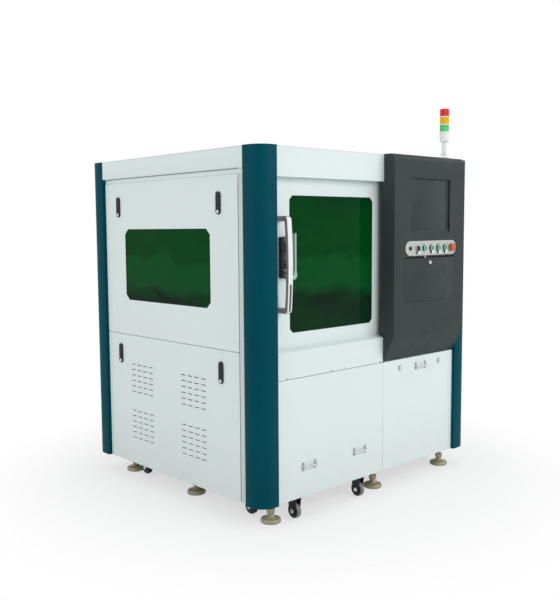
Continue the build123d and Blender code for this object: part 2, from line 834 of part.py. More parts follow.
# Push buttons: a cap on a shank that runs in its bezel
for place, button_x in enumerate(device_xs[2:6], start=1):
    with BuildPart() as button:
        with BuildSketch(front_plane(button_x, plate_y - bezel_h - button_proud, device_z)):
            Circle(device_shank_r)
        extrude(amount=-(bezel_h + button_proud + plate_t + button_tail))
        chamfer(button.faces().sort_by(Axis.Y)[0].edges(), length=button_edge)
    save(button, f"green_button_{place}")

# Emergency stop: domed mushroom head on a shank
estop_y0 = plate_y - estop_collar_h - estop_cap_h
with BuildPart() as estop_button:
    with BuildSketch(Plane(origin=(device_xs[6], estop_y0, device_z), x_dir=(1, 0, 0), z_dir=(0, 0, 1))):
        with BuildLine():
            cap_back = estop_cap_h - estop_gap
            shank_end = estop_cap_h + estop_collar_h + plate_t + button_tail
            Polyline(
                (estop_cap_r, estop_dome_h),
                (estop_cap_r, cap_back),
                (device_shank_r, cap_back),
                (device_shank_r, shank_end),
                (0, shank_end),
                (0, 0),
            )
            dome_r = (estop_cap_r**2 + estop_dome_h**2) / 2 / estop_dome_h
            RadiusArc((0, 0), (estop_cap_r, estop_dome_h), dome_r)
        make_face()
    revolve(axis=Axis((device_xs[6], estop_y0, device_z), (0, 1, 0)))
save(estop_button, "estop_button")

# Selector: round skirt with a grip bar across it
with BuildPart() as selector_switch:
    with BuildSketch(front_plane(device_xs[1], plate_y - fit, device_z)):
        Circle(selector_r)
    extrude(amount=selector_disc_h)
    with BuildSketch(front_plane(device_xs[1], plate_y - fit - selector_disc_h, device_z)):
        SlotOverall(selector_grip_l, selector_grip_w, rotation=90)
    extrude(amount=selector_grip_h)
    with BuildSketch(front_plane(device_xs[1], plate_y - fit, device_z)):
        Circle(device_shank_r)
    extrude(amount=-(plate_t + button_tail))
save(selector_switch, "selector_switch")

# Key switch: round face with a key slot
with BuildPart() as key_switch:
    with BuildSketch(front_plane(device_xs[0], plate_y - key_face_h, device_z)):
        Circle(key_face_r)
    extrude(amount=-(key_face_h + plate_t + button_tail))
    with BuildSketch(front_plane(device_xs[0], plate_y - key_face_h, device_z)):
        Rectangle(key_slot_w, key_face_r)
    extrude(amount=-key_face_h, mode=Mode.SUBTRACT)
save(key_switch, "key_switch")

# Keyboard flap, rounded about its hinge along the lower edge, with the keyboard on its inner face
flap_pivot_y = console_y0 + flap_t / 2
flap_pivot_z = flap_z0 + flap_t / 2
with BuildPart() as keyboard_flap:
    with BuildSketch(Plane.YZ.offset(flap_x - flap_w / 2)):
        with Locations((flap_pivot_y, flap_pivot_z)):
            Circle(flap_t / 2)
            Rectangle(flap_t, flap_h - flap_t / 2, align=(Align.CENTER, Align.MIN))
    extrude(amount=flap_w)
    with BuildSketch(front_plane(flap_x, console_y0, flap_z0 + flap_h - flap_lock_drop)):
        Circle(flap_lock_r)
    extrude(amount=flap_lock_h)
    with BuildSketch(front_plane(flap_x, console_y0 - flap_lock_h, flap_z0 + flap_h - flap_lock_drop)):
        Rectangle(key_slot_w, flap_lock_r)
    extrude(amount=-flap_lock_h, mode=Mode.SUBTRACT)
save(keyboard_flap, "keyboard_flap")

with BuildPart() as keyboard:
    keyboard_w = flap_w - 2 * keyboard_side_inset
    keyboard_d = flap_h - keyboard_inset - keyboard_head_inset
    key_pitch_x = (keyboard_w - 2 * key_margin) / key_columns
    key_pitch_z = (keyboard_d - 2 * key_margin) / key_rows
    keyboard_z = flap_z0 + keyboard_inset + keyboard_d / 2
    keys_face = console_y0 + flap_t + keyboard_t
    with BuildSketch(front_plane(flap_x, console_y0 + flap_t, keyboard_z)):
        Rectangle(keyboard_w, keyboard_d)
    extrude(amount=-keyboard_t)
    with BuildSketch(front_plane(flap_x, keys_face, keyboard_z)):
        with GridLocations(key_pitch_x, key_pitch_z, key_columns, key_rows):
            Rectangle(key_share * key_pitch_x, key_share * key_pitch_z)
    extrude(amount=-key_h)
save(keyboard, "keyboard")

# Tower light: flanged pole with a body, and three lenses
tower_x = right_x - tower_inset
tower_y = front_y + tower_setback
tower_plane = Plane(origin=(tower_x, tower_y, top_z), x_dir=(1, 0, 0), z_dir=(0, -1, 0))
tower_axis = Axis((tower_x, tower_y, top_z), (0, 0, 1))
with BuildPart() as tower_base:
    with BuildSketch(tower_plane):
        with BuildLine():
            Polyline(
                (0, 0),
                (tower_flange_r, 0),
                (tower_flange_r, tower_flange_h / 2),
                (tower_pole_r, tower_flange_h),
                (tower_pole_r, tower_pole_h),
                (tower_r - tower_step, tower_pole_h),
                (tower_r, tower_pole_h + tower_step),
                (tower_r, tower_pole_h + tower_body_h),
                (0, tower_pole_h + tower_body_h),
                close=True,
            )
        make_face()
    revolve(axis=tower_axis)
save(tower_base, "tower_base")

lens_z = top_z + tower_pole_h + tower_body_h
for lens_name, lens_h in zip(("lens_green", "lens_amber", "lens_red"), lens_heights):
    with BuildPart() as lens:
        with BuildSketch(Plane(origin=(tower_x, tower_y, lens_z))):
            Circle(tower_r)
        extrude(amount=lens_h)
        if lens_name == "lens_red":
            chamfer(lens.faces().sort_by(Axis.Z)[-1].edges(), length=lens_dome_h)
    save(lens, lens_name)
    lens_z = lens_z + lens_h


def bow_pull(x, z):
    """A bow handle on the front face: grip bar, two legs and two screw feet."""
    with BuildSketch(Plane(origin=(x, front_y, z))) as bow:
        with Locations((0, -pull_reach / 2)):
            RectangleRounded(pull_w, pull_reach, pull_bend_r)
        Rectangle(pull_w, pull_bend_r, align=(Align.CENTER, Align.MAX))
        Rectangle(pull_w - 2 * pull_bar, pull_reach - pull_bar, align=(Align.CENTER, Align.MAX),
                  mode=Mode.SUBTRACT)
    extrude(to_extrude=bow.sketch, amount=pull_grip_h / 2, both=True)
    for side in (-1, 1):
        foot_x = x + side * (pull_w - pull_bar) / 2
        block(foot_x - pull_bar / 2, foot_x + pull_bar / 2, front_y - pull_foot_t, front_y,
              z - pull_foot_h / 2, z + pull_foot_h / 2)


# Scrap cart: front cover with two handles, open bin, fixed casters
bin_x0 = left_x + bin_inset
bin_x1 = mid_x0 - bin_clear
bin_y0 = front_y + panel_t
bin_y1 = back_y - bin_rear_clear
bin_z0 = base_z + bin_bottom_h
bin_z1 = deck_z0 - bin_top_gap
with BuildPart() as cart_front:
    front_tray(cart_front, left_x + left_notch, console_x0 - seam / 2, base_z, deck_z - cart_front_top_gap)
    # The bin's floor takes the place of the lower fold
    block(bin_x0, bin_x1, bin_y0, front_y + panel_depth, base_z, base_z + panel_t, mode=Mode.SUBTRACT)
save(cart_front, "cart_front")

with BuildPart() as cart_handles:
    for pull_x in (left_x + left_notch + cart_handle_insets[0], console_x0 - cart_handle_insets[1]):
        bow_pull(pull_x, base_z + cart_handle_h)
save(cart_handles, "cart_handles")

with BuildPart() as cart_bin:
    with BuildSketch(Plane(origin=((bin_x0 + bin_x1) / 2, (bin_y0 + bin_y1) / 2, bin_z0))):
        RectangleRounded(bin_x1 - bin_x0, bin_y1 - bin_y0, bin_corner_r)
    extrude(amount=bin_z1 - bin_z0)
    offset(amount=-bin_t, openings=cart_bin.faces().sort_by(Axis.Z)[-1])
save(cart_bin, "cart_bin")


def caster_fork(x, y, seat_z, axle_z):
    """A fixed caster without its wheel: top plate, two cheeks and the axle."""
    cheek_x = wheel_w / 2 + fork_gap
    fork_w = 2 * (cheek_x + cheek_t)
    plate_z = seat_z - caster_plate_t
    block(x - fork_w / 2, x + fork_w / 2, y - caster_plate_l / 2, y + caster_plate_l / 2, plate_z, seat_z)
    for side in (-1, 1):
        inner_x = x + side * cheek_x
        with BuildSketch(Plane.YZ.offset(inner_x)) as cheek:
            with Locations((y, axle_z)):
                Circle(cheek_w / 2)
            with BuildLine():
                Polyline(
                    (y - cheek_w / 2, axle_z),
                    (y + cheek_w / 2, axle_z),
                    (y + cheek_top_w / 2, plate_z),
                    (y - cheek_top_w / 2, plate_z),
                    close=True,
                )
            make_face()
        extrude(to_extrude=cheek.sketch, amount=side * cheek_t)
    with BuildSketch(Plane.YZ.offset(x - fork_w / 2)) as axle:
        with Locations((y, axle_z)):
            Circle(axle_r)
    extrude(to_extrude=axle.sketch, amount=fork_w)


def caster_wheel(x, y, axle_z):
    """A caster wheel with crowned tread edges and recessed hub faces."""
    with BuildSketch(Plane(origin=(x, y, axle_z))) as section:
        with BuildLine():
            Polyline(
                (-wheel_w / 2, wheel_bore_r),
                (-wheel_w / 2, wheel_r - wheel_crown),
                (-wheel_w / 2 + wheel_crown, wheel_r),
                (wheel_w / 2 - wheel_crown, wheel_r),
                (wheel_w / 2, wheel_r - wheel_crown),
                (wheel_w / 2, wheel_bore_r),
                close=True,
            )
        make_face()
    revolve(section.sketch, axis=Axis((x, y, axle_z), (1, 0, 0)))


cart_axle_z = wheel_r
cart_caster_xs = (bin_x0 + cart_caster_insets[0], bin_x1 - cart_caster_insets[1])
cart_caster_ys = (front_y + cart_caster_setback, bin_y1 - cart_caster_rear_inset)
cart_places = [(x, y) for y in cart_caster_ys for x in cart_caster_xs]
with BuildPart() as cart_forks:
    for x, y in cart_places:
        caster_fork(x, y, bin_z0, cart_axle_z)
save(cart_forks, "cart_forks")

wheel_sides = ("front_left", "front_right", "rear_left", "rear_right")
for wheel_side, (x, y) in zip(wheel_sides, cart_places):
    with BuildPart() as wheel:
        caster_wheel(x, y, cart_axle_z)
    save(wheel, f"cart_wheel_{wheel_side}")

# Casters under the machine, clear of the floor while it stands on its feet
machine_axle_z = wheel_r + machine_caster_lift
foot_side_xs = (left_x + foot_side_inset, right_x - foot_side_inset)
machine_caster_ys = (front_y + machine_caster_front_inset, back_y - machine_caster_rear_inset)
machine_places = [(x, y) for y in machine_caster_ys for x in foot_side_xs]
with BuildPart() as caster_forks:
    for x, y in machine_places:
        caster_fork(x, y, base_z, machine_axle_z)
save(caster_forks, "caster_forks")

for wheel_side, (x, y) in zip(wheel_sides, machine_places):
    with BuildPart() as wheel:
        caster_wheel(x, y, machine_axle_z)
    save(wheel, f"caster_wheel_{wheel_side}")

# Levelling feet around the edge: low domed pad on a stud with a round lock nut
foot_end_ys = (front_y + foot_front_inset, back_y - foot_rear_inset)
foot_places = [(x, y) for x in (*foot_side_xs, mid_x0 + foot_mid_shift) for y in foot_end_ys]
foot_places += [(x, front_y + foot_middle_share * body_d) for x in foot_side_xs]
with BuildPart() as levelling_feet:
    for x, y in foot_places:
        with BuildSketch(Plane(origin=(x, y, 0), x_dir=(1, 0, 0), z_dir=(0, -1, 0))) as foot:
            with BuildLine():
                Polyline(
                    (0, 0),
                    (foot_heel_r, 0),
                    (foot_r, foot_heel_h),
                    (foot_r, foot_rim_h),
                    (foot_shoulder_r, foot_shoulder_h),
                    (foot_boss_r, foot_boss_h),
                    (foot_waist_r, foot_waist_h),
                    (foot_nut_r, foot_nut_h0),
                    (foot_nut_r, foot_nut_h1),
                    (stud_r, foot_nut_h1),
                    (stud_r, base_z),
                    (0, base_z),
                    close=True,
                )
            make_face()
        revolve(foot.sketch, axis=Axis((x, y, 0), (0, 0, 1)))
save(levelling_feet, "levelling_feet")

# Lower right cover with a handle and two quarter-turn locks
with BuildPart() as right_front_cover:
    front_tray(right_front_cover, console_x0 + seam / 2, console_x1, base_z, deck_z - cart_front_top_gap)
    cam_xs = (console_x0 + cam_insets[0], console_x1 - cam_insets[1])
    with BuildSketch(front_plane(0, front_y, deck_z - cam_drop)):
        with Locations([(x, 0) for x in cam_xs]):
            Circle(cam_shank_r + fit)
    extrude(amount=-panel_depth / 2, mode=Mode.SUBTRACT)
save(right_front_cover, "right_front_cover")

with BuildPart() as cover_handle:
    bow_pull(console_mid_x + cover_handle_shift, deck_z - cover_handle_drop)
save(cover_handle, "cover_handle")

for lock_name, lock_x in zip(("cover_lock_left", "cover_lock_right"), cam_xs):
    lock_z = deck_z - cam_drop
    cam_y = front_y + panel_depth - fit - cam_arm_gap - cam_arm_t
    with BuildPart() as cover_lock:
        with BuildSketch(front_plane(lock_x, front_y - fit, lock_z)):
            Circle(cam_head_r)
        extrude(amount=cam_head_h)
        with BuildSketch(front_plane(lock_x, front_y - fit - cam_head_h, lock_z)):
            Rectangle(cam_head_r, cam_slot_w)
        extrude(amount=-cam_slot_depth, mode=Mode.SUBTRACT)
        with BuildSketch(front_plane(lock_x, front_y - fit, lock_z)):
            Circle(cam_shank_r)
        extrude(amount=-(cam_y - front_y + fit))
        with BuildSketch(front_plane(lock_x, cam_y, lock_z)):
            with Locations((0, -cam_arm_l / 2)):
                SlotCenterToCenter(cam_arm_l, cam_arm_w, rotation=90)
        extrude(amount=-cam_arm_t)
    save(cover_lock, lock_name)

# Cutting bed: four bars around the chute over the scrap cart
bed_x0 = left_x + bed_left_inset
bed_x1 = mid_x0 + bed_lap
bed_y0 = front_y + bed_end_inset
bed_y1 = back_y - bed_end_inset
bed_z1 = deck_z + bed_h
chute_x0 = left_x + chute_left_inset
chute_x1 = mid_x0 - chute_clear
chute_y0 = front_y + chute_front_inset
chute_y1 = back_y - chute_rear_inset
with BuildPart() as work_bed:
    block(bed_x0, chute_x0, bed_y0, bed_y1, deck_z, bed_z1)
    block(chute_x1, bed_x1, bed_y0, bed_y1, deck_z, bed_z1)
    block(chute_x0 + weld_gap, chute_x1 - weld_gap, bed_y0, chute_y0, deck_z, bed_z1)
    block(chute_x0 + weld_gap, chute_x1 - weld_gap, chute_y1, bed_y1, deck_z, bed_z1)
save(work_bed, "work_bed")

# Saw-tooth slats across the chute
slat_x0 = chute_x0 - slat_overlap
slat_x1 = chute_x1 + slat_overlap
slat_z1 = bed_z1 + slat_h
tooth_pitch = (slat_x1 - slat_x0) / tooth_count
slat_pitch = (chute_y1 - chute_y0) / slat_count
slat_points = [(slat_x0, bed_z1)]
for tooth in range(tooth_count):
    slat_points.append((slat_x0 + tooth * tooth_pitch, slat_z1 - tooth_depth))
    slat_points.append((slat_x0 + tooth * tooth_pitch + tooth_pitch / 2, slat_z1))
slat_points.append((slat_x1, slat_z1 - tooth_depth))
slat_points.append((slat_x1, bed_z1))
with BuildPart() as cutting_slats:
    for row in range(slat_count):
        slat_y = chute_y0 + slat_pitch / 2 + row * slat_pitch
        with BuildSketch(Plane.XZ.offset(-(slat_y + slat_t / 2))) as slat:
            with BuildLine():
                Polyline(*slat_points, close=True)
            make_face()
        extrude(to_extrude=slat.sketch, amount=slat_t)
save(cutting_slats, "cutting_slats")

# Linear rails along the depth
rail_xs = (left_x + rail_inset + rail_w / 2, mid_x0 + rail_lap + rail_w / 2)
rail_y0 = bed_y0 + y_rail_margin
with BuildPart() as y_rails:
    for rail_x in rail_xs:
        rail_end = Plane(origin=(rail_x, rail_y0, bed_z1), x_dir=(-1, 0, 0), z_dir=(0, 1, 0))
        with BuildSketch(rail_end) as rail:
            Trapezoid(rail_w, y_rail_h, rail_slope, align=(Align.CENTER, Align.MIN))
        extrude(to_extrude=rail.sketch, amount=bed_y1 - bed_y0 - 2 * y_rail_margin)
save(y_rails, "y_rails")

# Gantry: a box beam on two legs that ride on the rails
rail_top_z = bed_z1 + y_rail_h
beam_z0 = bed_z1 + beam_lift
beam_z1 = beam_z0 + beam_h
beam_y0 = (bed_y0 + bed_y1) / 2 - beam_shift
beam_y1 = beam_y0 + beam_d
with BuildPart() as gantry_beam:
    block(rail_xs[0] - leg_w / 2, rail_xs[1] + leg_w / 2, beam_y0, beam_y1, beam_z0, beam_z1)
    for leg_x in rail_xs:
        with BuildSketch(Plane.YZ.offset(leg_x - leg_w / 2)) as leg:
            with BuildLine():
                leg_mid_y = (beam_y0 + beam_y1) / 2
                Polyline(
                    (leg_mid_y - leg_d / 2, rail_top_z + fit),
                    (leg_mid_y + leg_d / 2, rail_top_z + fit),
                    (leg_mid_y + leg_d / 2, rail_top_z + leg_wall),
                    (beam_y1, beam_z0),
                    (beam_y0, beam_z0),
                    (leg_mid_y - leg_d / 2, rail_top_z + leg_wall),
                    close=True,
                )
            make_face()
        extrude(to_extrude=leg.sketch, amount=leg_w)
save(gantry_beam, "gantry_beam")

# Carriage: a plate on the front of the beam with a hook over its top
carriage_x0 = (rail_xs[0] + rail_xs[1]) / 2 + carriage_shift - carriage_w / 2
carriage_y1 = beam_y0 - fit
carriage_y0 = carriage_y1 - carriage_t
with BuildPart() as carriage:
    block(carriage_x0, carriage_x0 + carriage_w, carriage_y0, carriage_y1,
          beam_z0 - carriage_over, beam_z1 + fit + carriage_hook_t)
    block(carriage_x0, carriage_x0 + carriage_w, carriage_y1, beam_y1,
          beam_z1 + fit, beam_z1 + fit + carriage_hook_t)
save(carriage, "carriage")

# Cutting head: housing on the front of the carriage, with a tapered nozzle below
head_x = carriage_x0 + carriage_w / 2
head_y1 = carriage_y0 - fit
head_y = head_y1 - head_d / 2
head_z0 = bed_z1 + head_lift
tip_z = slat_z1 + nozzle_tip_gap
with BuildPart() as cutting_head:
    with BuildSketch(Plane(origin=(head_x, head_y, head_z0))):
        RectangleRounded(head_w, head_d, head_edge_r)
    extrude(amount=head_h)
    with BuildSketch(Plane(origin=(head_x, head_y, head_z0), x_dir=(1, 0, 0), z_dir=(0, -1, 0))):
        with BuildLine():
            Polyline(
                (0, 0),
                (nozzle_r, 0),
                (nozzle_r, -nozzle_neck_h),
                (nozzle_tip_r, tip_z - head_z0),
                (0, tip_z - head_z0),
                close=True,
            )
        make_face()
    revolve(axis=Axis((head_x, head_y, head_z0), (0, 0, 1)))
save(cutting_head, "cutting_head")

# Laser source cabinet on the bottom rails of the right bay
source_x0 = mid_x1 + source_gap
source_x1 = frame_x1 - side_rail_w
source_w = source_x1 - source_x0
source_y0 = front_y + source_setback
source_y1 = back_y - source_setback
source_z0 = base_z + rail_h
source_z1 = deck_z0 - source_clear
with BuildPart() as laser_source:
    block(source_x0, source_x1, source_y0, source_y1, source_z0, source_z1)
    fillet(laser_source.edges().filter_by(Axis.Z), radius=source_edge_r)
    with BuildSketch(front_plane((source_x0 + source_x1) / 2, source_y0, (source_z0 + source_z1) / 2)):
        with GridLocations(source_w / 2, vent_pitch, 2, vent_rows):
            Rectangle(vent_w, vent_h)
    extrude(amount=-vent_depth, mode=Mode.SUBTRACT)
save(laser_source, "laser_source")
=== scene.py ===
import json
import math

import bmesh
import bpy
from mathutils import Matrix, Vector


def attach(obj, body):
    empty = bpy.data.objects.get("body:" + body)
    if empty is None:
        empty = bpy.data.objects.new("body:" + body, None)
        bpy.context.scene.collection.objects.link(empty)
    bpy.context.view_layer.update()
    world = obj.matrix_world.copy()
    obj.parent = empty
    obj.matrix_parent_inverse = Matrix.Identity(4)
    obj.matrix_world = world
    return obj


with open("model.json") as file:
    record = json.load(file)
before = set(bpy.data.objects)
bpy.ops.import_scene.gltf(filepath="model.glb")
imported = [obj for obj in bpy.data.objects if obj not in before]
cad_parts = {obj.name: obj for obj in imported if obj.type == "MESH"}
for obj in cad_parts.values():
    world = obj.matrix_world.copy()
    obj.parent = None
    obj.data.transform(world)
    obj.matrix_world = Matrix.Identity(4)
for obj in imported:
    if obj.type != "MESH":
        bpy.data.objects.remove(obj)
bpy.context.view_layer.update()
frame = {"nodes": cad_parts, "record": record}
NODES = frame["nodes"]
SCENE = bpy.context.scene

# Measures of the pieces are millimetres from the machine's own corner: x from the left covers' face,
# y from the front covers' face, z from the underside of the covers.
CORNER = Vector((800.0, 649.0, -105.0))
MM = 0.001
UP = Vector((0, 0, 1))
FRONT = Vector((0, -1, 0))
BACK = Vector((0, 1, 0))
LEFT = Vector((-1, 0, 0))
RIGHT = Vector((1, 0, 0))
LEFT_FACE, MIDDLE_X, RIGHT_FACE = 0.0, 800.0, 1600.0
FRONT_FACE, DOOR_FACE, REAR_FACE = 0.0, 45.0, 1380.0
FLOOR, ROOF_TOP = -105.0, 1650.0
TOWER_X, TOWER_Y = 1441.0, 40.0
SIDES = ("front_left", "front_right", "rear_left", "rear_right")
TURN = 2 * math.pi
SMOOTH_ANGLE = math.radians(32)


def at(x, y, z):
    """A point of the machine's corner frame, in metres in the row frame."""
    return (Vector((x, y, z)) - CORNER) * MM


# Camera
CAM_PLACE = Vector((-3.19356, -3.26107, 1.38974))
CAM_YAW, CAM_PITCH, CAM_ROLL = (math.radians(a) for a in (41.997, -5.4505, -0.5334))
CAM_SENSOR, CAM_LENS = 36.0, 48.03
CAM_SHIFT = (0.0447, 0.0063)
CAM_CLIP = (0.05, 200.0)


def make_camera():
    """The camera at the photograph's viewpoint."""
    forward = Vector((
        math.sin(CAM_YAW) * math.cos(CAM_PITCH),
        math.cos(CAM_YAW) * math.cos(CAM_PITCH),
        math.sin(CAM_PITCH),
    ))
    level = Vector((math.cos(CAM_YAW), -math.sin(CAM_YAW), 0))
    upward = level.cross(forward)
    cam_right = math.cos(CAM_ROLL) * level + math.sin(CAM_ROLL) * upward
    cam_up = -math.sin(CAM_ROLL) * level + math.cos(CAM_ROLL) * upward
    turn = Matrix((cam_right, cam_up, -forward)).transposed().to_4x4()
    camera = bpy.data.objects.new("camera", bpy.data.cameras.new("camera"))
    SCENE.collection.objects.link(camera)
    camera.matrix_world = Matrix.Translation(CAM_PLACE) @ turn
    camera.data.sensor_width = CAM_SENSOR
    camera.data.lens = CAM_LENS
    camera.data.shift_x, camera.data.shift_y = CAM_SHIFT
    camera.data.clip_start, camera.data.clip_end = CAM_CLIP
    SCENE.camera = camera


make_camera()
SCENE.view_settings.view_transform = "Standard"

# Node helpers. Most of a noise texture's values lie in NOISE_SPAN.
NOISE_SPAN = (0.3, 0.7)


def linear(red, green, blue):
    """Linear colour of an sRGB colour given in 0 to 255."""
    def one(v):
        v = v / 255
        return v / 12.92 if v <= 0.04045 else ((v + 0.055) / 1.055) ** 2.4
    return (one(red), one(green), one(blue), 1.0)


def shade(colour, share):
    """A linear colour times a share."""
    return tuple(v * share for v in colour[:3]) + (1.0,)


def add(tree, kind, inputs=(), **settings):
    """A shader node with its settings and its inputs, which are values or other nodes' outputs."""
    node = tree.nodes.new("ShaderNode" + kind)
    for key, value in settings.items():
        setattr(node, key, value)
    for key, value in dict(inputs).items():
        socket = node.inputs[key]
        if isinstance(value, bpy.types.NodeSocket):
            tree.links.new(value, socket)
        else:
            socket.default_value = value
    return node


def new_material(name):
    """A material, its empty node tree and the place of a point on the surface."""
    material = bpy.data.materials.new(name)
    material.use_nodes = True
    tree = material.node_tree
    tree.nodes.clear()
    return material, tree, add(tree, "TexCoord").outputs["Object"]


def noise(tree, place, scale, detail=2.0, distortion=0.0):
    """A noise value over the surface."""
    return add(tree, "TexNoise", {
        "Vector": place, "Scale": scale, "Detail": detail, "Distortion": distortion,
    }).outputs[0]


def part_of(tree, vector, number):
    """The x, y or z of a vector, by its number."""
    return add(tree, "SeparateXYZ", {"Vector": vector}).outputs[number]


def scaled(tree, place, scale):
    """A place stretched along its three directions."""
    return add(tree, "Mapping", {"Vector": place, "Scale": scale}).outputs[0]


def worked_out(tree, operation, one, two=0.0):
    """The result of a math node."""
    return add(tree, "Math", {0: one, 1: two}, operation=operation).outputs[0]


def mapped(tree, value, span, result, curve="LINEAR"):
    """A value of a span, carried over to the range of a result."""
    return add(tree, "MapRange", {
        "Value": value, "From Min": span[0], "From Max": span[1], "To Min": result[0], "To Max": result[1],
    }, interpolation_type=curve).outputs[0]


def mixed(tree, factor, one, two):
    """A colour between two others."""
    return add(tree, "Mix", {0: factor, 6: one, 7: two}, data_type="RGBA").outputs[2]


def bumped(tree, height, strength, distance):
    """A normal that follows a height."""
    return add(tree, "Bump", {
        "Height": height, "Strength": strength, "Distance": distance,
    }).outputs[0]


def finish_material(tree, inputs):
    """A principled shader with its inputs, joined to the material's output."""
    shader = add(tree, "BsdfPrincipled", inputs)
    add(tree, "OutputMaterial", {"Surface": shader.outputs[0]})


def specular(level):
    """A shader's fixed strength of reflection."""
    return {"Specular IOR Level": level}


# Surfaces
SOIL_COLOUR = (0.36, 0.33, 0.28, 1.0)
SOIL_HEIGHTS = (0.1, 0.42)
SMEAR_SCALE, GLOSS_FINER = 9.0, 7
LENS_RIBS = 48
# Heights and colour bands of the windows: a painted reflection over the acrylic's deep green, greyer and
# darker at the foot and a lighter band across the middle.
WINDOW_HEIGHTS = (0.89, 1.54)
WINDOW_REFLECTION_BANDS = (
    (0.0, (26, 50, 36)), (0.22, (20, 46, 32)), (0.3, (14, 88, 42)), (0.5, (6, 90, 36)),
    (0.56, (0, 72, 24)), (0.82, (0, 74, 26)), (1.0, (0, 64, 28)),
)


def surface(name, colour, rough, spread=0.05, blotch=2.0, rough_spread=0.06, grain=900.0,
            grain_depth=0.00012, grain_strength=0.25, stretch=(1, 1, 1), soil=0.0, fixed=None):
    """A procedural surface: colour that drifts a little, uneven gloss and a fine grain."""
    material, tree, place = new_material(name)
    tone = linear(*colour)
    drift = mapped(tree, noise(tree, place, blotch, detail=4.0), NOISE_SPAN, (0, 1))
    base = mixed(tree, drift, shade(tone, 1 - spread), shade(tone, 1 + spread))
    if soil:
        low = mapped(tree, part_of(tree, place, 2), SOIL_HEIGHTS, (soil, 0.0))
        smear = noise(tree, place, SMEAR_SCALE, detail=6.0)
        base = mixed(tree, worked_out(tree, "MULTIPLY", low, smear), base, SOIL_COLOUR)
    stretched = scaled(tree, place, stretch)
    uneven = noise(tree, stretched, blotch * GLOSS_FINER, detail=3.0)
    gloss = mapped(tree, uneven, NOISE_SPAN, (rough - rough_spread, rough + rough_spread))
    bump = bumped(tree, noise(tree, stretched, grain), grain_strength, grain_depth)
    finish_material(tree, {"Base Color": base, "Roughness": gloss, "Normal": bump, **(fixed or {})})
    return material


def lens_surface(name, colour):
    """Translucent tower lens with upright ribs moulded round it."""
    material, tree, place = new_material(name)
    centre = tuple(at(TOWER_X, TOWER_Y, ROOF_TOP))
    local = add(tree, "VectorMath", {0: place, 1: centre}, operation="SUBTRACT").outputs[0]
    round_it = add(tree, "TexGradient", {"Vector": local}, gradient_type="RADIAL").outputs[1]
    ribs = worked_out(tree, "SINE", worked_out(tree, "MULTIPLY", round_it, LENS_RIBS * TURN))
    tone = linear(*colour)
    drift = mapped(tree, noise(tree, place, 60.0), NOISE_SPAN, (0, 1))
    finish_material(tree, {
        "Base Color": mixed(tree, drift, shade(tone, 0.9), shade(tone, 1.08)), "Roughness": 0.22,
        "Normal": bumped(tree, ribs, strength=0.6, distance=0.0006), "Subsurface Weight": 0.05,
        "Subsurface Radius": (0.02, 0.02, 0.02), "Subsurface Scale": 0.4, **specular(0.2),
    })
    return material


def window_surface():
    """Laser-safety acrylic: deep green and half see-through, with painted reflections: greyer and darker low
    down, a lighter band across the middle and lighter blotches.
    """
    material, tree, place = new_material("green_acrylic")
    flat = scaled(tree, place, (1.0, 1.0, 1.6))
    sway = mapped(tree, noise(tree, flat, 2.6, detail=4.0, distortion=0.6), NOISE_SPAN, (-0.06, 0.06))
    height = worked_out(tree, "ADD", part_of(tree, place, 2), sway)
    # Painted reflection: the colour follows the height, with a wavy edge.
    ramp = add(tree, "ValToRGB", {0: mapped(tree, height, WINDOW_HEIGHTS, (0, 1))})
    stops = ramp.color_ramp.elements
    for spot, _ in WINDOW_REFLECTION_BANDS[1:-1]:
        stops.new(spot)
    for stop, (_, tone) in zip(stops, WINDOW_REFLECTION_BANDS):
        stop.color = linear(*tone)
    # Painted reflection: lighter green blotches.
    reflection_blotches = mapped(tree, noise(tree, flat, 1.7, detail=3.0), (0.4, 0.65), (0, 0.4))
    finish_material(tree, {
        "Base Color": mixed(tree, reflection_blotches, ramp.outputs[0], linear(0, 96, 30)),
        "Roughness": mapped(tree, noise(tree, place, 14.0, detail=5.0), NOISE_SPAN, (0.02, 0.07)),
        "Normal": bumped(tree, noise(tree, place, 3.0, detail=1.0), strength=0.15, distance=0.002),
        "Transmission Weight": 0.3, "IOR": 1.2, **specular(0.06),
    })
    return material


def handle_surface():
    """Handle coloured by facing: white on faces to the front, grey on the sides, which is painted shade."""
    material, tree, place = new_material("handle_painted_side_shade")
    facing = part_of(tree, add(tree, "TexCoord").outputs["Normal"], 1)
    # Painted shade: faces that turn to the side are grey.
    sideways = mapped(tree, facing, (-0.75, -0.45), (0, 1))
    drift = noise(tree, place, 18.0)
    side_shade = mixed(tree, drift, linear(132, 124, 126), linear(146, 140, 140))
    finish_material(tree, {
        "Base Color": mixed(tree, sideways, linear(240, 243, 242), side_shade),
        "Roughness": mapped(tree, drift, NOISE_SPAN, (0.28, 0.36)), **specular(0.3),
    })
    return material


# Paints
SATIN = specular(0.3)
DULL = specular(0.12)
METAL = {"Metallic": 1.0}
HALF_METAL = {"Metallic": 0.5}
white_paint = surface("white_powder_coat", (228, 239, 238), 0.42, spread=0.012, blotch=1.3, soil=0.16,
                      fixed=SATIN)
frame_paint = surface("frame_white", (214, 219, 218), 0.5, spread=0.03, blotch=3.0, soil=0.2, fixed=SATIN)
teal_paint = surface("teal_powder_coat", (0, 74, 86), 0.45, spread=0.08, blotch=1.6, fixed=specular(0.04))
console_paint = surface("console_powder_coat", (57, 67, 66), 0.55, blotch=2.2, grain=620.0,
                        grain_depth=0.0003, grain_strength=0.45, fixed=DULL)
screen_paint = surface("screen_glass", (57, 66, 66), 0.3, spread=0.03, grain_strength=0.02,
                       fixed=specular(0.1))
grey_paint = surface("grey_powder_coat", (178, 182, 182), 0.48, spread=0.04, fixed=SATIN)
handle_paint = handle_surface()
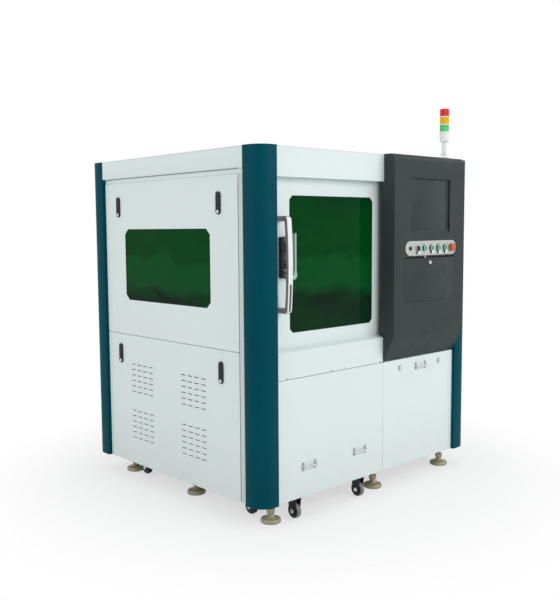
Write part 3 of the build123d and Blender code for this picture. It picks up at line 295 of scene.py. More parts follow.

# Metals
# Zinc plate; on the bow handles' end plates its darker tone is also a painted reflection.
plate_steel = surface("zinc_plate", (128, 133, 132), 0.4, spread=0.08, blotch=40.0, fixed=HALF_METAL)
foot_metal = surface("yellow_zinc", (168, 161, 135), 0.42, spread=0.12, blotch=22.0, rough_spread=0.1,
                     grain=500.0, fixed={"Metallic": 0.2, **SATIN})
nut_metal = surface("zinc_nut", (172, 168, 152), 0.38, spread=0.1, blotch=60.0, fixed=HALF_METAL)
black_steel = surface("black_enamel", (34, 36, 38), 0.35, spread=0.1, blotch=20.0, fixed=SATIN)
bare_steel = surface("ground_steel", (176, 178, 180), 0.32, spread=0.06, blotch=8.0, grain=400.0,
                     stretch=(6, 0.2, 6), grain_strength=0.3, fixed=METAL)
aluminium = surface("clear_anodised", (196, 199, 203), 0.36, spread=0.03, blotch=5.0, grain=350.0,
                    stretch=(0.15, 5, 5), grain_strength=0.22, fixed=METAL)
head_black = surface("black_anodised", (46, 49, 54), 0.38, spread=0.06, blotch=12.0, fixed={"Metallic": 0.6})
brass = surface("brass", (201, 164, 92), 0.26, spread=0.06, blotch=60.0, fixed=METAL)
plate_metal = surface("brushed_plate", (188, 192, 186), 0.42, spread=0.03, blotch=9.0, grain=300.0,
                      stretch=(0.12, 1, 7), grain_strength=0.25, fixed={"Metallic": 0.35})
chrome = surface("polished_chrome", (214, 216, 218), 0.12, spread=0.03, blotch=30.0, rough_spread=0.04,
                 grain_strength=0.05, fixed=METAL)

# Plastics, rubbers and seals
inlay_grey = surface("handle_inlay", (78, 82, 80), 0.45, blotch=40.0, fixed=SATIN)
seal_grey = surface("foam_seal", (150, 156, 153), 0.8, spread=0.06, blotch=30.0, fixed=DULL)
# Grey of the strip under the left fascia: painted shade.
fascia_shade_grey = surface("fascia_painted_shade", (156, 163, 160), 0.8, spread=0.06, blotch=30.0, fixed=DULL)
channel_pale = surface("channel_plastic", (168, 196, 181), 0.4, spread=0.04, blotch=18.0, fixed=SATIN)
# Dark felt behind the louvres: painted shade in the slots.
slot_shade_felt = surface("slot_shade_felt", (58, 62, 60), 0.9, spread=0.2, blotch=160.0, fixed=DULL)
bezel_grey = surface("bezel_grey", (150, 154, 150), 0.45, blotch=40.0)
black_plastic = surface("black_moulding", (38, 41, 41), 0.5, spread=0.1, blotch=30.0, grain=1500.0,
                        grain_strength=0.35, fixed=SATIN)
window_seal = surface("window_seal", (14, 42, 27), 0.7, spread=0.1, blotch=30.0, fixed=DULL)
# Dark rubber of the foot pads, also painted shade along the bottom of the feet.
pad_rubber_and_shade = surface("pad_rubber_and_shade", (22, 27, 25), 0.7, spread=0.1, blotch=30.0, fixed=DULL)
red_plastic = surface("stop_red", (196, 84, 62), 0.34, blotch=40.0, grain_strength=0.1)
yellow_plastic = surface("stop_yellow", (196, 148, 48), 0.38, blotch=40.0, grain_strength=0.1)
green_plastic = surface("button_green", (36, 148, 116), 0.24, spread=0.06, blotch=60.0,
                        grain_strength=0.08, fixed={"Subsurface Weight": 0.15})
ring_mint = surface("button_ring", (176, 226, 208), 0.3, spread=0.03, blotch=60.0, grain_strength=0.06)
tower_plastic = surface("tower_white", (229, 233, 231), 0.32, spread=0.02, blotch=20.0, grain_strength=0.1)
label_white = surface("label_white", (236, 238, 236), 0.4, spread=0.02, blotch=80.0, grain_strength=0.05)
tyre_rubber = surface("tyre_rubber", (132, 137, 136), 0.62, spread=0.08, blotch=40.0, grain=700.0,
                      grain_strength=0.4, fixed=DULL)
tyre_black = surface("tyre_black", (30, 31, 32), 0.55, spread=0.1, blotch=40.0, grain=700.0,
                     grain_strength=0.4, fixed=DULL)
hub_black = surface("hub_moulding", (38, 40, 42), 0.45, spread=0.1, blotch=40.0, fixed=SATIN)

# Lenses and windows
green_lens = lens_surface("lens_green_ribbed", (86, 205, 116))
amber_lens = lens_surface("lens_amber_ribbed", (250, 180, 0))
red_lens = lens_surface("lens_red_ribbed", (230, 40, 42))
green_acrylic = window_surface()

# Looks of the CAD nodes, and the rounding of their edges in millimetres
SLOT_LOOKS = {
    "white_paint": white_paint, "teal_paint": teal_paint, "console_paint": console_paint,
    "grey_paint": grey_paint, "foot_metal": foot_metal, "black_steel": black_steel,
    "bare_steel": bare_steel, "gantry_aluminium": aluminium, "head_anodised": head_black,
    "green_glass": green_acrylic, "black_plastic": black_plastic, "plate_metal": plate_metal,
    "red_plastic": red_plastic, "green_plastic": green_plastic, "tower_plastic": tower_plastic,
    "green_lens": green_lens, "amber_lens": amber_lens, "red_lens": red_lens, "chrome": chrome,
    "grey_rubber": tyre_rubber,
}
NODE_LOOKS = {"base_frame": frame_paint, "door_handle": handle_paint}
NODE_LOOKS.update({"caster_wheel_" + side: tyre_black for side in SIDES})
SOFT_EDGES = {
    "door_handle": 4.0, "corner_columns": 0.8, "console_shell": 1.5, "cart_handles": 2.5,
    "cover_handle": 2.5, "roof_cover": 1.2, "door_panel": 0.8, "front_sill": 0.8, "keyboard_flap": 0.8,
    "monitor": 0.8, "door_interlock": 1.0, "laser_source": 1.5, "gantry_beam": 1.5, "carriage": 1.2,
}
BROKEN_ANGLE = math.radians(40)
WELD_REACH = 1e-6


def dress(node, look, edge):
    """Gives a CAD node its material, smooth curved faces and slightly broken edges."""
    thing = NODES[node]
    thing.data.materials.clear()
    thing.data.materials.append(look)
    normals = thing.data.attributes.get("custom_normal")
    if normals:
        thing.data.attributes.remove(normals)
    thing.data.polygons.foreach_set("use_smooth", [True] * len(thing.data.polygons))
    weld = thing.modifiers.new("weld", "WELD")
    weld.merge_threshold = WELD_REACH
    if edge:
        bevel = thing.modifiers.new("bevel", "BEVEL")
        bevel.width = edge * MM
        bevel.segments = 2
        bevel.limit_method = "ANGLE"
        bevel.angle_limit = BROKEN_ANGLE
    split = thing.modifiers.new("split", "EDGE_SPLIT")
    split.split_angle = SMOOTH_ANGLE


for row in frame["record"]["subparts"]:
    node_name = row["node"]
    node_look = NODE_LOOKS.get(node_name, SLOT_LOOKS[row["material_slot"]])
    dress(node_name, node_look, SOFT_EDGES.get(node_name))


# Mesh helpers. SCREW is the profile of a screw with a radius and a height of 1.
SCREW = ((0, 0), (1, 0), (1, 0.55), (0.82, 1), (0.45, 1, 6), (0.42, 0.45, 6), (0, 0.45))


def axes(axis):
    """Two directions square to an axis."""
    side = UP.cross(axis)
    if side.length < 0.1:
        side = RIGHT.copy()
    side.normalize()
    return side, axis.cross(side).normalized()


def angles(count, start=0.0):
    """Angles spaced evenly round a turn."""
    return [start + TURN * i / count for i in range(count)]


def spoke(angle, one, other):
    """The direction at an angle, in the plane of two directions."""
    return one * math.cos(angle) + other * math.sin(angle)


def polygon_reach(angle, flats):
    """How far a polygon with that many flats reaches at an angle, as a share of its corner radius."""
    half = math.pi / flats
    return math.cos(half) / math.cos(angle % (2 * half) - half)


def bridge(bm, low, high):
    """Faces between two loops of points. A loop of one point is a tip."""
    count = max(len(low), len(high))
    for i in range(count):
        j = (i + 1) % count
        if len(low) == 1:
            bm.faces.new((low[0], high[i], high[j]))
        elif len(high) == 1:
            bm.faces.new((low[i], high[0], low[j]))
        else:
            bm.faces.new((low[i], high[i], high[j], low[j]))


def lathe(bm, centre, axis, profile, segments):
    """Turns a profile of (radius, height) about an axis. One that starts off the axis is closed to a ring.

    A third number in a row of the profile makes that row a polygon with so many flats.
    """
    side, other = axes(axis)
    loops = []
    for radius, height, *flats in profile:
        middle = Vector(centre) + axis * height
        if radius == 0:
            loops.append([bm.verts.new(middle)])
            continue
        loops.append([])
        for angle in angles(segments):
            reach = radius * polygon_reach(angle, flats[0]) if flats else radius
            loops[-1].append(bm.verts.new(middle + spoke(angle, side, other) * reach))
    for low, high in zip(loops, loops[1:]):
        bridge(bm, low, high)
    if profile[0][0] > 0:
        bridge(bm, loops[-1], loops[0])


def skin(bm, loops):
    """A closed skin over loops with the same number of points, with a flat face at each end."""
    rows = [[bm.verts.new(point) for point in loop] for loop in loops]
    for low, high in zip(rows, rows[1:]):
        bridge(bm, low, high)
    bm.faces.new(rows[0])
    bm.faces.new(list(reversed(rows[-1])))


def prism(bm, outline, depth):
    """A flat outline of points pushed along a vector."""
    skin(bm, [outline, [Vector(point) + Vector(depth) for point in outline]])


def band(bm, outer, inner, depth):
    """A flat ring between two outlines of the same number of points, pushed along a vector."""
    still = Vector((0, 0, 0))
    rows = [
        [bm.verts.new(Vector(point) + push) for point in outline]
        for outline, push in ((outer, still), (outer, depth), (inner, depth), (inner, still))
    ]
    for row, following in zip(rows, rows[1:] + rows[:1]):
        bridge(bm, row, following)


def obround(centre, half_long, radius, long_way, across, steps=10):
    """Points of a slot outline: straight sides and half-round ends."""
    points = []
    for end in (1, -1):
        for i in range(steps + 1):
            angle = math.pi * (i / steps - end / 2)
            points.append(centre + long_way * end * half_long + spoke(angle, long_way, across) * radius)
    return points


def cut_corners(low, high, corner):
    """The eight corners of a rectangle with its corners cut off, as pairs of numbers."""
    (a0, b0), (a1, b1) = low, high
    return [
        (a0 + corner, b0), (a1 - corner, b0), (a1, b0 + corner), (a1, b1 - corner),
        (a1 - corner, b1), (a0 + corner, b1), (a0, b1 - corner), (a0, b0 + corner),
    ]


def rounded_box(bm, corners, edge):
    """A box between two corners with rounded edges."""
    low, high = (Vector(corner) for corner in corners)
    made = bmesh.ops.create_cube(bm, size=1)
    middle = (low + high) / 2
    size = high - low
    for vert in made["verts"]:
        vert.co = Vector(c * s for c, s in zip(vert.co, size)) + middle
    edges = {e for v in made["verts"] for e in v.link_edges}
    bmesh.ops.bevel(bm, geom=list(edges), offset=edge, segments=2, profile=0.5, affect="EDGES")


def block(bm, middle, half, edge):
    """A rounded box by its middle and half its size."""
    rounded_box(bm, (Vector(middle) - Vector(half), Vector(middle) + Vector(half)), edge)


def screw(bm, centre, axis, radius, height):
    """A pan-head screw with a hexagon socket."""
    lathe(bm, centre, axis, [(r * radius, h * height, *flats) for r, h, *flats in SCREW], 18)


def each(shape, places, *details):
    """Builder of one shape at each of several places."""
    def build(bm):
        for place in places:
            shape(bm, place, *details)
    return build


def piece(name, body, build, slot=None, look=None):
    """One added piece: built in millimetres, set into the row frame, riding on a CAD body.

    Its look is its slot's, unless another is given.
    """
    bm = bmesh.new()
    build(bm)
    bmesh.ops.recalc_face_normals(bm, faces=bm.faces)
    for vert in bm.verts:
        vert.co = at(*vert.co)
    for face in bm.faces:
        face.smooth = True
    for edge in bm.edges:
        edge.smooth = not (len(edge.link_faces) == 2 and edge.calc_face_angle(0) > SMOOTH_ANGLE)
    mesh = bpy.data.meshes.new(name)
    bm.to_mesh(mesh)
    bm.free()
    mesh.materials.append(look or SLOT_LOOKS[slot])
    thing = bpy.data.objects.new(name, mesh)
    SCENE.collection.objects.link(thing)
    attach(thing, body)


# Latches of the left covers: the y and z of each lever's pivot
LATCHES = {
    "upper_front_lever": (280.0, 1347.0), "upper_rear_lever": (1131.0, 1347.0),
    "lower_front_lever": (275.0, 548.0), "lower_rear_lever": (1137.0, 548.0),
}
LATCH_FACE = -8.0
KEY_RISE = 12.5
KEY_BARREL = ((0, 0), (8.2, 0), (8.2, 1.2), (7.4, 2.0), (6.2, 2.0), (6.0, 1.3), (0, 1.3))
KEY_BAR_HALF = (0.35, 0.8, 3.9)
GRIP_RISE, GRIP_HALF, GRIP_PROUD = 59.5, 27.0, 0.9
GRIP_RADII = (8.6, 6.4)
RIDGE_COUNT, RIDGE_RISE, RIDGE_PITCH = 5, 32.0, 5.0
RIDGE_HALF = (0.55, 5.2, 0.9)


def latch_key(bm, pivot):
    """Key barrel with an upright bar in its recess."""
    y, z = pivot
    lathe(bm, (LATCH_FACE, y, z + KEY_RISE), LEFT, KEY_BARREL, 28)
    block(bm, (LATCH_FACE - 1.55, y, z + KEY_RISE), KEY_BAR_HALF, 0.3)


def lever_grip(bm, pivot):
    """Raised rim and finger ridges of a lever."""
    y, z = pivot
    middle = Vector((LATCH_FACE, y, z + GRIP_RISE))
    outer, inner = (obround(middle, GRIP_HALF, radius, UP, BACK) for radius in GRIP_RADII)
    band(bm, outer, inner, LEFT * GRIP_PROUD)
    for ridge in range(RIDGE_COUNT):
        block(bm, (LATCH_FACE - 0.15, y, z + RIDGE_RISE + ridge * RIDGE_PITCH), RIDGE_HALF, 0.3)


for level in ("upper", "lower"):
    levers = [f"{level}_{end}_lever" for end in ("front", "rear")]
    pivots = [LATCHES[lever] for lever in levers]
    piece(f"{level}_latch_keys", f"left_{level}_cover", each(latch_key, pivots), "chrome")
    for lever, pivot in zip(levers, pivots):
        piece(f"{lever}_grip", lever, each(lever_grip, [pivot]), "black_plastic")

# Louvre lips, and dark mats behind them as painted shade inside the slots
LOUVRE_ROWS, LOUVRE_COLUMNS = 6, 4
LOUVRE_PITCH = (53.7, 30.0)
LOUVRE_SIZE = (36.0, 5.0)
LIP_STATIONS = (-1.08, -0.9, -0.6, 0, 0.6, 0.9, 1.08)
LIP_SECTION = ((7.0, 0.0), (5.5, 1.3), (3.2, 2.5), (0.2, 3.2), (0.0, 2.5), (2.0, 0.0))
LIP_CLEAR = 0.03
SHADE_MAT_HALF = (104.0, 84.0)
SHADE_MAT_LAYERS = ((0.0, 2.2, 4.2), (-6.0, 4.0, 6.4))
SIDE_GRIDS = [(y, z) for y in (497.0, 942.5) for z in (221.5, 476.5)]
REAR_GRID_OUT, REAR_GRID_Z = 342.0, 221.5
LOUVRE_BANKS = (
    ("left", "left_lower_cover", LEFT, BACK, [(LEFT_FACE, y, z) for y, z in SIDE_GRIDS]),
    ("right", "machine", RIGHT, BACK, [(RIGHT_FACE, y, z) for y, z in SIDE_GRIDS[:2]]),
    ("rear", "machine", BACK, RIGHT,
     [(MIDDLE_X + side * REAR_GRID_OUT, REAR_FACE, REAR_GRID_Z) for side in (-1, 1)]),
)


def louvre_lip(bm, middle, outward, along):
    """A pressed lip over a slot: a shallow hood that runs out into the sheet at its ends."""
    loops = []
    for share in LIP_STATIONS:
        swell = math.cos(min(abs(share), 1) * math.pi / 2) ** 0.5
        spine = middle + along * share * LOUVRE_SIZE[0] / 2
        loops.append([spine + UP * rise + outward * (out * swell + LIP_CLEAR) for rise, out in LIP_SECTION])
    skin(bm, loops)


def louvre_lips(bm, grid, outward, along):
    """The lips over a grid of slots."""
    for row in range(LOUVRE_ROWS):
        for column in range(LOUVRE_COLUMNS):
            sideways = (column - (LOUVRE_COLUMNS - 1) / 2) * LOUVRE_PITCH[0]
            rise = (row - (LOUVRE_ROWS - 1) / 2) * LOUVRE_PITCH[1] + LOUVRE_SIZE[1] / 2
            louvre_lip(bm, Vector(grid) + along * sideways + UP * rise, outward, along)


def shade_mat(bm, grid, outward, along):
    """Dark mat in a folded rim behind a grid of slots: painted shade inside them."""
    for margin, near, far in SHADE_MAT_LAYERS:
        reach = along * (SHADE_MAT_HALF[0] + margin) + UP * (SHADE_MAT_HALF[1] + margin)
        ends = Vector(grid) - reach - outward * near, Vector(grid) + reach - outward * far
        low = [min(a, b) for a, b in zip(*ends)]
        high = [max(a, b) for a, b in zip(*ends)]
        rounded_box(bm, (low, high), 0.5)


for bank, bank_body, outward, along, grids in LOUVRE_BANKS:
    piece(f"{bank}_louvre_lips", bank_body, each(louvre_lips, grids, outward, along), "white_paint")
    piece(f"{bank}_louvre_shade_mats", bank_body, each(shade_mat, grids, outward, along), look=slot_shade_felt)

# Window gaskets
GASKET_WIDTH, GASKET_EASE = 5.0, 2.0
LEFT_WINDOW = ((349.3, 901.3), (1074.7, 1280.7), 28.0)
LEFT_SEAT, LEFT_DEEP = LEFT_FACE + 0.4, RIGHT * 1.55
DOOR_WINDOW = ((229.3, 788.3), (825.7, 1430.7), 20.0)
DOOR_SEAT, DOOR_DEEP = DOOR_FACE + 0.5, BACK * 1.95


def gasket(bm, window, place, depth):
    """Flat gasket along the edge of a window with cut corners."""
    low, high, corner = window
    inner_low = [value + GASKET_WIDTH for value in low]
    inner_high = [value - GASKET_WIDTH for value in high]
    outer = cut_corners(low, high, corner)
    inner = cut_corners(inner_low, inner_high, corner - GASKET_EASE)
    band(bm, [place(*p) for p in outer], [place(*p) for p in inner], depth)


piece("left_window_gasket", "left_upper_cover",
      each(gasket, [LEFT_WINDOW], lambda y, z: (LEFT_SEAT, y, z), LEFT_DEEP), look=window_seal)
piece("door_window_gasket", "door",
      each(gasket, [DOOR_WINDOW], lambda x, z: (x, DOOR_SEAT, z), DOOR_DEEP), look=window_seal)

# Door handle, interlock and keeper channel
HANDLE_X = 157.0
HANDLE_ENDS = (890.0, 1335.0)
HANDLE_FRONT = DOOR_FACE - 72.0
HANDLE_BOW = 10.0
INLAY_ENDS = (899.0, 1027.0)
INLAY_RADIUS, INLAY_TIP, INLAY_STEPS = 6.0, 0.6, 28
INLAY_SECTION = ((-1.0, 0.6), (-1.0, -0.3), (-0.7, -0.7), (0.7, -0.7), (1.0, -0.3), (1.0, 0.6))
INTERLOCK_X, INTERLOCK_FACE = 176.0, DOOR_FACE - 24.0
INTERLOCK_SCREWS, INTERLOCK_SCREW = (1062.0, 1145.0, 1228.0), (4.2, 2.4)
INTERLOCK_PLATE, PLATE_HALF = (INTERLOCK_X, INTERLOCK_FACE - 0.5, 1087.0), (6.0, 0.9, 5.0)
CHANNEL_SEAT, LIP_PROUD, FOOT_PROUD = DOOR_FACE - 0.4, 17.0, 18.0
CHANNEL_FLOOR = ((197.0, DOOR_FACE - 3.0, 1043.0), (248.5, DOOR_FACE - 0.1, 1246.0))
CHANNEL_LIP = ((248.0, 1060.0), (258.0, 1060.0), (258.0, 1255.0), (256.8, 1257.0), (248.0, 1249.0))
CHANNEL_FOOT = (
    (206.0, 1041.0), (246.0, 1041.0), (254.0, 1045.0), (260.0, 1054.0), (261.0, 1064.0),
    (258.5, 1078.0), (244.0, 1078.0), (242.0, 1062.0), (206.0, 1058.0),
)


def handle_inlay(bm):
    """Dark slot inlay let into the lower part of the bowed bar."""
    low, high = INLAY_ENDS
    middle = sum(HANDLE_ENDS) / 2
    half = (HANDLE_ENDS[1] - HANDLE_ENDS[0]) / 2
    loops = []
    for i in range(INLAY_STEPS + 1):
        z = low + (high - low) * i / INLAY_STEPS
        into_end = max(0.0, low + INLAY_RADIUS - z, z - high + INLAY_RADIUS)
        wide = math.sqrt(max(INLAY_RADIUS ** 2 - into_end ** 2, INLAY_TIP ** 2))
        y = HANDLE_FRONT - HANDLE_BOW * (1 - ((z - middle) / half) ** 2)
        loops.append([(HANDLE_X + side * wide, y + depth, z) for side, depth in INLAY_SECTION])
    skin(bm, loops)


def interlock_fittings(bm):
    """Screws and a small raised plate on the door's interlock switch."""
    for z in INTERLOCK_SCREWS:
        screw(bm, (INTERLOCK_X, INTERLOCK_FACE, z), FRONT, *INTERLOCK_SCREW)
    block(bm, INTERLOCK_PLATE, PLATE_HALF, 0.6)


def door_channel(bm):
    """Pale keeper channel between the handle and the window: floor, slant-topped lip and rounded foot."""
    rounded_box(bm, CHANNEL_FLOOR, 0.8)
    for outline, proud in ((CHANNEL_LIP, LIP_PROUD), (CHANNEL_FOOT, FOOT_PROUD)):
        face = DOOR_FACE - proud
        prism(bm, [(x, face, z) for x, z in outline], BACK * (CHANNEL_SEAT - face))


piece("handle_inlay", "door", handle_inlay, look=inlay_grey)
piece("interlock_fittings", "door", interlock_fittings, "chrome", plate_steel)
piece("door_keeper_channel", "door", door_channel, look=channel_pale)

# Monitor
CONSOLE_FACE = -69.0
SCREEN = ((1003.7, CONSOLE_FACE + 8.3, 1249.6), (1345.3, CONSOLE_FACE + 12.0, 1536.4))
OPENING_LEFT, OPENING_RIGHT, OPENING_BACK = 1003.2, 1345.8, CONSOLE_FACE + 8.4
BEZEL_HEAD = ((OPENING_LEFT, CONSOLE_FACE + 0.2, 1530.6), (OPENING_RIGHT, OPENING_BACK, 1539.6))
BEZEL_SILL = (
    (CONSOLE_FACE + 0.3, 1246.4), (OPENING_BACK, 1246.4),
    (OPENING_BACK, 1261.4), (CONSOLE_FACE + 0.9, 1247.6),
)
# Dark strip on the right wall of the monitor opening: painted shade.
SHADE_LINING = ((OPENING_RIGHT - 2.2, CONSOLE_FACE + 0.5, 1262.0), (OPENING_RIGHT + 0.1, OPENING_BACK, 1530.4))


def monitor_bezel(bm):
    """Flush head strip and sloping sill inside the monitor opening."""
    rounded_box(bm, BEZEL_HEAD, 0.8)
    prism(bm, [(OPENING_LEFT, y, z) for y, z in BEZEL_SILL], RIGHT * (OPENING_RIGHT - OPENING_LEFT))


piece("monitor_screen", "machine", each(rounded_box, [SCREEN], 0.45), "console_paint", screen_paint)
piece("monitor_bezel", "machine", monitor_bezel, "console_paint")
# Black strip lining the right wall of the opening: painted shade, a dark sheet where that wall lies in
# shadow
piece("monitor_shade_lining", "machine", each(rounded_box, [SHADE_LINING], 0.4), "black_plastic")

# Controls on the plate
PLATE_FACE = -72.0
DEVICE_START, DEVICE_PITCH, DEVICE_Z = 992.0, 61.2, 1168.0
KEY_X, SELECTOR_X, *GREEN_X = [DEVICE_START + DEVICE_PITCH * i for i in range(6)]
STOP_X = 1352.2
RING_PROUD, CAP_PROUD, FINGER_PROUD, INSERT_PROUD, KEY_PROUD = 8.1, 10.0, 28.0, 5.2, 4.0
BUTTON_COLLAR = (
    (10.95, 0.05), (17.2, 0.05), (17.2, 2.6), (16.4, 3.6), (15.7, 8.2), (11.4, 8.2), (10.95, 7.6),
)
BUTTON_RING = ((11.2, 0), (15.6, 0), (15.2, 0.9), (11.9, 1.1), (11.2, 0.6))
GREEN_CAP = ((0, 0.1), (5.6, 0.1), (7.6, 0.5), (8.2, 0.1), (9.4, 0.1), (9.5, -0.6), (7.0, -0.9), (0, -0.9))
STOP_COLLAR = ((11.2, 0.05), (21.4, 0.05), (21.4, 3.4), (20.6, 6.6), (19.4, 7.4), (11.2, 7.4))
STOP_SKIRT = ((18.6, 14.2), (20.6, 14.2), (21.6, 15.4), (21.6, 18.2), (20.4, 20.2), (18.6, 20.8))
STOP_FINGER = ((0, 8.2), (1.2, 8.6), (1.5, 9.6), (1.5, 13.6), (1.2, 14.6), (0, 14.8))
STOP_FINGERS, STOP_FINGER_OUT = 24, 18.9
SELECTOR_RIM = (
    (13.05, 0.4), (13.8, 0.4), (13.8, 5.4), (13.2, 6.0), (11.8, 6.0), (11.8, 5.2), (13.05, 5.2),
)
INSERT_RADIUS, INSERT_SPREAD, INSERT_STEPS, INSERT_DEEP = 11.7, 66.0, 14, 0.6
SELECTOR_TOP = PLATE_FACE - 17.3
POINTER = (
    (SELECTOR_X - 0.9, SELECTOR_TOP - 0.5, DEVICE_Z + 1.0),
    (SELECTOR_X + 0.9, SELECTOR_TOP + 0.3, DEVICE_Z + 10.0),
)
CENTRE_DOT = ((0, -0.3), (1.6, -0.3), (1.4, 0.35), (0, 0.45))
KEY_RING = ((6.2, -0.3), (9.0, -0.3), (8.7, 0.5), (6.6, 0.7), (6.2, 0.3))
LABEL_SHIFT = 4.0
LABEL_X = [x + LABEL_SHIFT for x in (SELECTOR_X, *GREEN_X[1:])]
LABEL_FACE = PLATE_FACE - 8.0
LABEL_HOLDERS = [((x - 11.6, LABEL_FACE, 1138.4), (x + 11.6, PLATE_FACE + 0.05, 1151.6)) for x in LABEL_X]
LABELS = [((x - 11.0, LABEL_FACE - 0.8, 1139.0), (x + 11.0, LABEL_FACE + 0.1, 1151.0)) for x in LABEL_X]


def device(x, proud=0.0):
    """A point on a device's axis, so far in front of the control plate."""
    return Vector((x, PLATE_FACE - proud, DEVICE_Z))


def stop_grip(bm):
    """Finger scallops round the mushroom head."""
    for angle in angles(STOP_FINGERS):
        place = device(STOP_X, FINGER_PROUD) + spoke(angle, RIGHT, UP) * STOP_FINGER_OUT
        lathe(bm, place, BACK, STOP_FINGER, 8)


def selector_bezel(bm):
    """Grey rim and two half-moon inserts beside the grip bar."""
    lathe(bm, device(SELECTOR_X), FRONT, SELECTOR_RIM, 40)
    for side in (LEFT, RIGHT):
        outline = []
        for i in range(INSERT_STEPS + 1):
            angle = math.radians(INSERT_SPREAD * (2 * i / INSERT_STEPS - 1))
            outline.append(device(SELECTOR_X, INSERT_PROUD) + spoke(angle, side, UP) * INSERT_RADIUS)
        prism(bm, outline, FRONT * INSERT_DEEP)


def selector_mark(bm):
    """Pointer line and centre dot on the selector's grip bar."""
    rounded_box(bm, POINTER, 0.25)
    lathe(bm, (SELECTOR_X, SELECTOR_TOP, DEVICE_Z), FRONT, CENTRE_DOT, 16)


piece("button_collars", "machine",
      each(lathe, [device(x) for x in GREEN_X], FRONT, BUTTON_COLLAR, 40), "black_plastic")
piece("button_rings", "machine",
      each(lathe, [device(x, RING_PROUD) for x in GREEN_X], FRONT, BUTTON_RING, 40), look=ring_mint)
for number, button_x in enumerate(GREEN_X, start=1):
    piece(f"green_button_{number}_face", f"green_button_{number}",
          each(lathe, [device(button_x, CAP_PROUD)], FRONT, GREEN_CAP, 36), "green_plastic")
# Blank labels on black holders under the devices
piece("label_holders", "machine", each(rounded_box, LABEL_HOLDERS, 0.5), "black_plastic")
piece("label_plates", "machine", each(rounded_box, LABELS, 0.35), look=label_white)
piece("stop_collar", "machine",
      each(lathe, [device(STOP_X)], FRONT, STOP_COLLAR, 48), look=yellow_plastic)
piece("stop_grip", "estop_button", stop_grip, "red_plastic")
piece("stop_skirt", "estop_button",
      each(lathe, [device(STOP_X)], FRONT, STOP_SKIRT, 48), "red_plastic")
piece("selector_bezel", "selector_switch", selector_bezel, look=bezel_grey)
piece("selector_mark", "selector_switch", selector_mark, look=label_white)
piece("key_switch_ring", "key_switch",
      each(lathe, [device(KEY_X, KEY_PROUD)], FRONT, KEY_RING, 36), "black_plastic")

# Keyboard flap
FLAP_LOCK = (
    (3.0, -3.9), (10.5, -3.9), (10.5, -2.2), (9.2, -0.4), (8.6, 0.9), (6.4, 1.4), (3.4, 1.2), (3.0, 0.6),
)
STOP_PIN = (
    (0, 0), (2.6, 0.2), (3.2, 1.0), (3.2, 4.0), (2.5, 5.0), (2.5, 17.0), (1.8, 18.0), (0, 18.2),
)
LOCK_CENTRE = (1169.0, CONSOLE_FACE - 4.0, 1091.0)
PIN_FOOT = (1118.0, CONSOLE_FACE - 4.2, 1117.0)
PIN_CLIP = ((1114.6, CONSOLE_FACE - 5.4, 1124.0), (1121.4, CONSOLE_FACE + 0.3, 1128.0))
NICHE_LOW, NICHE_HIGH = (944.0, 878.0), (1394.0, 1118.5)
NICHE_FRONT, NICHE_BACK = CONSOLE_FACE + 3.4, 4.0
NICHE_SHEET, NICHE_FOLD = 2.0, 3.0


def keyboard_niche(bm):
    """Folded box behind the flap that closes the keyboard compartment."""
    loops = []
    for inset, y in ((0.0, NICHE_BACK), (0.0, NICHE_FRONT), (NICHE_SHEET, NICHE_FRONT),
                     (NICHE_SHEET, NICHE_BACK - NICHE_SHEET)):
        low = [value + inset for value in NICHE_LOW]
        high = [value - inset for value in NICHE_HIGH]
        loops.append([(x, y, z) for x, z in cut_corners(low, high, NICHE_FOLD)])
    skin(bm, loops)


def flap_stop(bm):
    """Small upright stop pin in a clip on the console above the flap."""
    lathe(bm, PIN_FOOT, UP, STOP_PIN, 20)
    rounded_box(bm, PIN_CLIP, 0.6)


piece("flap_lock_ring", "flap", each(lathe, [LOCK_CENTRE], FRONT, FLAP_LOCK, 36), "chrome")
piece("keyboard_niche", "machine", keyboard_niche, "console_paint")
piece("flap_stop", "machine", flap_stop, "tower_plastic")

# Tower light
LENS_FOOT = ROOF_TOP + 154.0
LENS_JOINTS = (0.0, 40.0, 83.0)
LENS_RING = ((24.0, -2.4), (25.5, -2.4), (26.0, -1.8), (26.0, 1.8), (25.5, 2.4), (24.0, 2.4))
POST_COLLAR = ((12.9, 30.2), (17.5, 30.2), (17.5, 33.0), (15.0, 36.0), (13.1, 36.0))
FLANGE_TOP = Vector((TOWER_X, TOWER_Y, ROOF_TOP + 19.6))
FLANGE_OUT, FLANGE_ANGLES = 22.0, angles(3, math.radians(30))
FLANGE_SCREWS = [FLANGE_TOP + spoke(angle, RIGHT, BACK) * FLANGE_OUT for angle in FLANGE_ANGLES]
FLANGE_SCREW = (2.8, 2.2)


def tower_rings(bm):
    """Rings at the joints of the lenses and the collar at the foot of the post."""
    for rise in LENS_JOINTS:
        lathe(bm, (TOWER_X, TOWER_Y, LENS_FOOT + rise), UP, LENS_RING, 48)
    lathe(bm, (TOWER_X, TOWER_Y, ROOF_TOP), UP, POST_COLLAR, 40)


piece("tower_rings", "machine", tower_rings, "tower_plastic")
piece("tower_screws", "machine", each(screw, FLANGE_SCREWS, UP, *FLANGE_SCREW), "chrome")

# Levelling feet: three rows of three, without the one in the middle
NO_FOOT = (875.0, 645.0)
FEET = [(x, y) for x in (125.0, 875.0, 1475.0) for y in (75.0, 645.0, 1215.0) if (x, y) != NO_FOOT]
LOCK_NUT = ((10.1, -14.0), (14.6, -14.0), (16.4, -12.4), (16.4, -3.6), (14.6, -2.0), (10.1, -2.0))
THREAD_TURNS, THREAD_START, THREAD_PITCH = 7, -38.5, 3.4
THREAD = ((10.05, 0), (10.9, 0.9), (10.9, 1.3), (10.05, 2.2))
FLUTES, FLUTE_OUT = 20, 18.6
FLUTE = ((0, 45.0), (1.0, 46.0), (1.2, 48.0), (1.2, 61.0), (1.0, 63.0), (0, 64.0))
FOOT_PAD = ((38.0, 0.2), (45.6, 0.2), (47.0, 1.2), (47.0, 2.0), (44.0, 2.6), (38.0, 2.6))


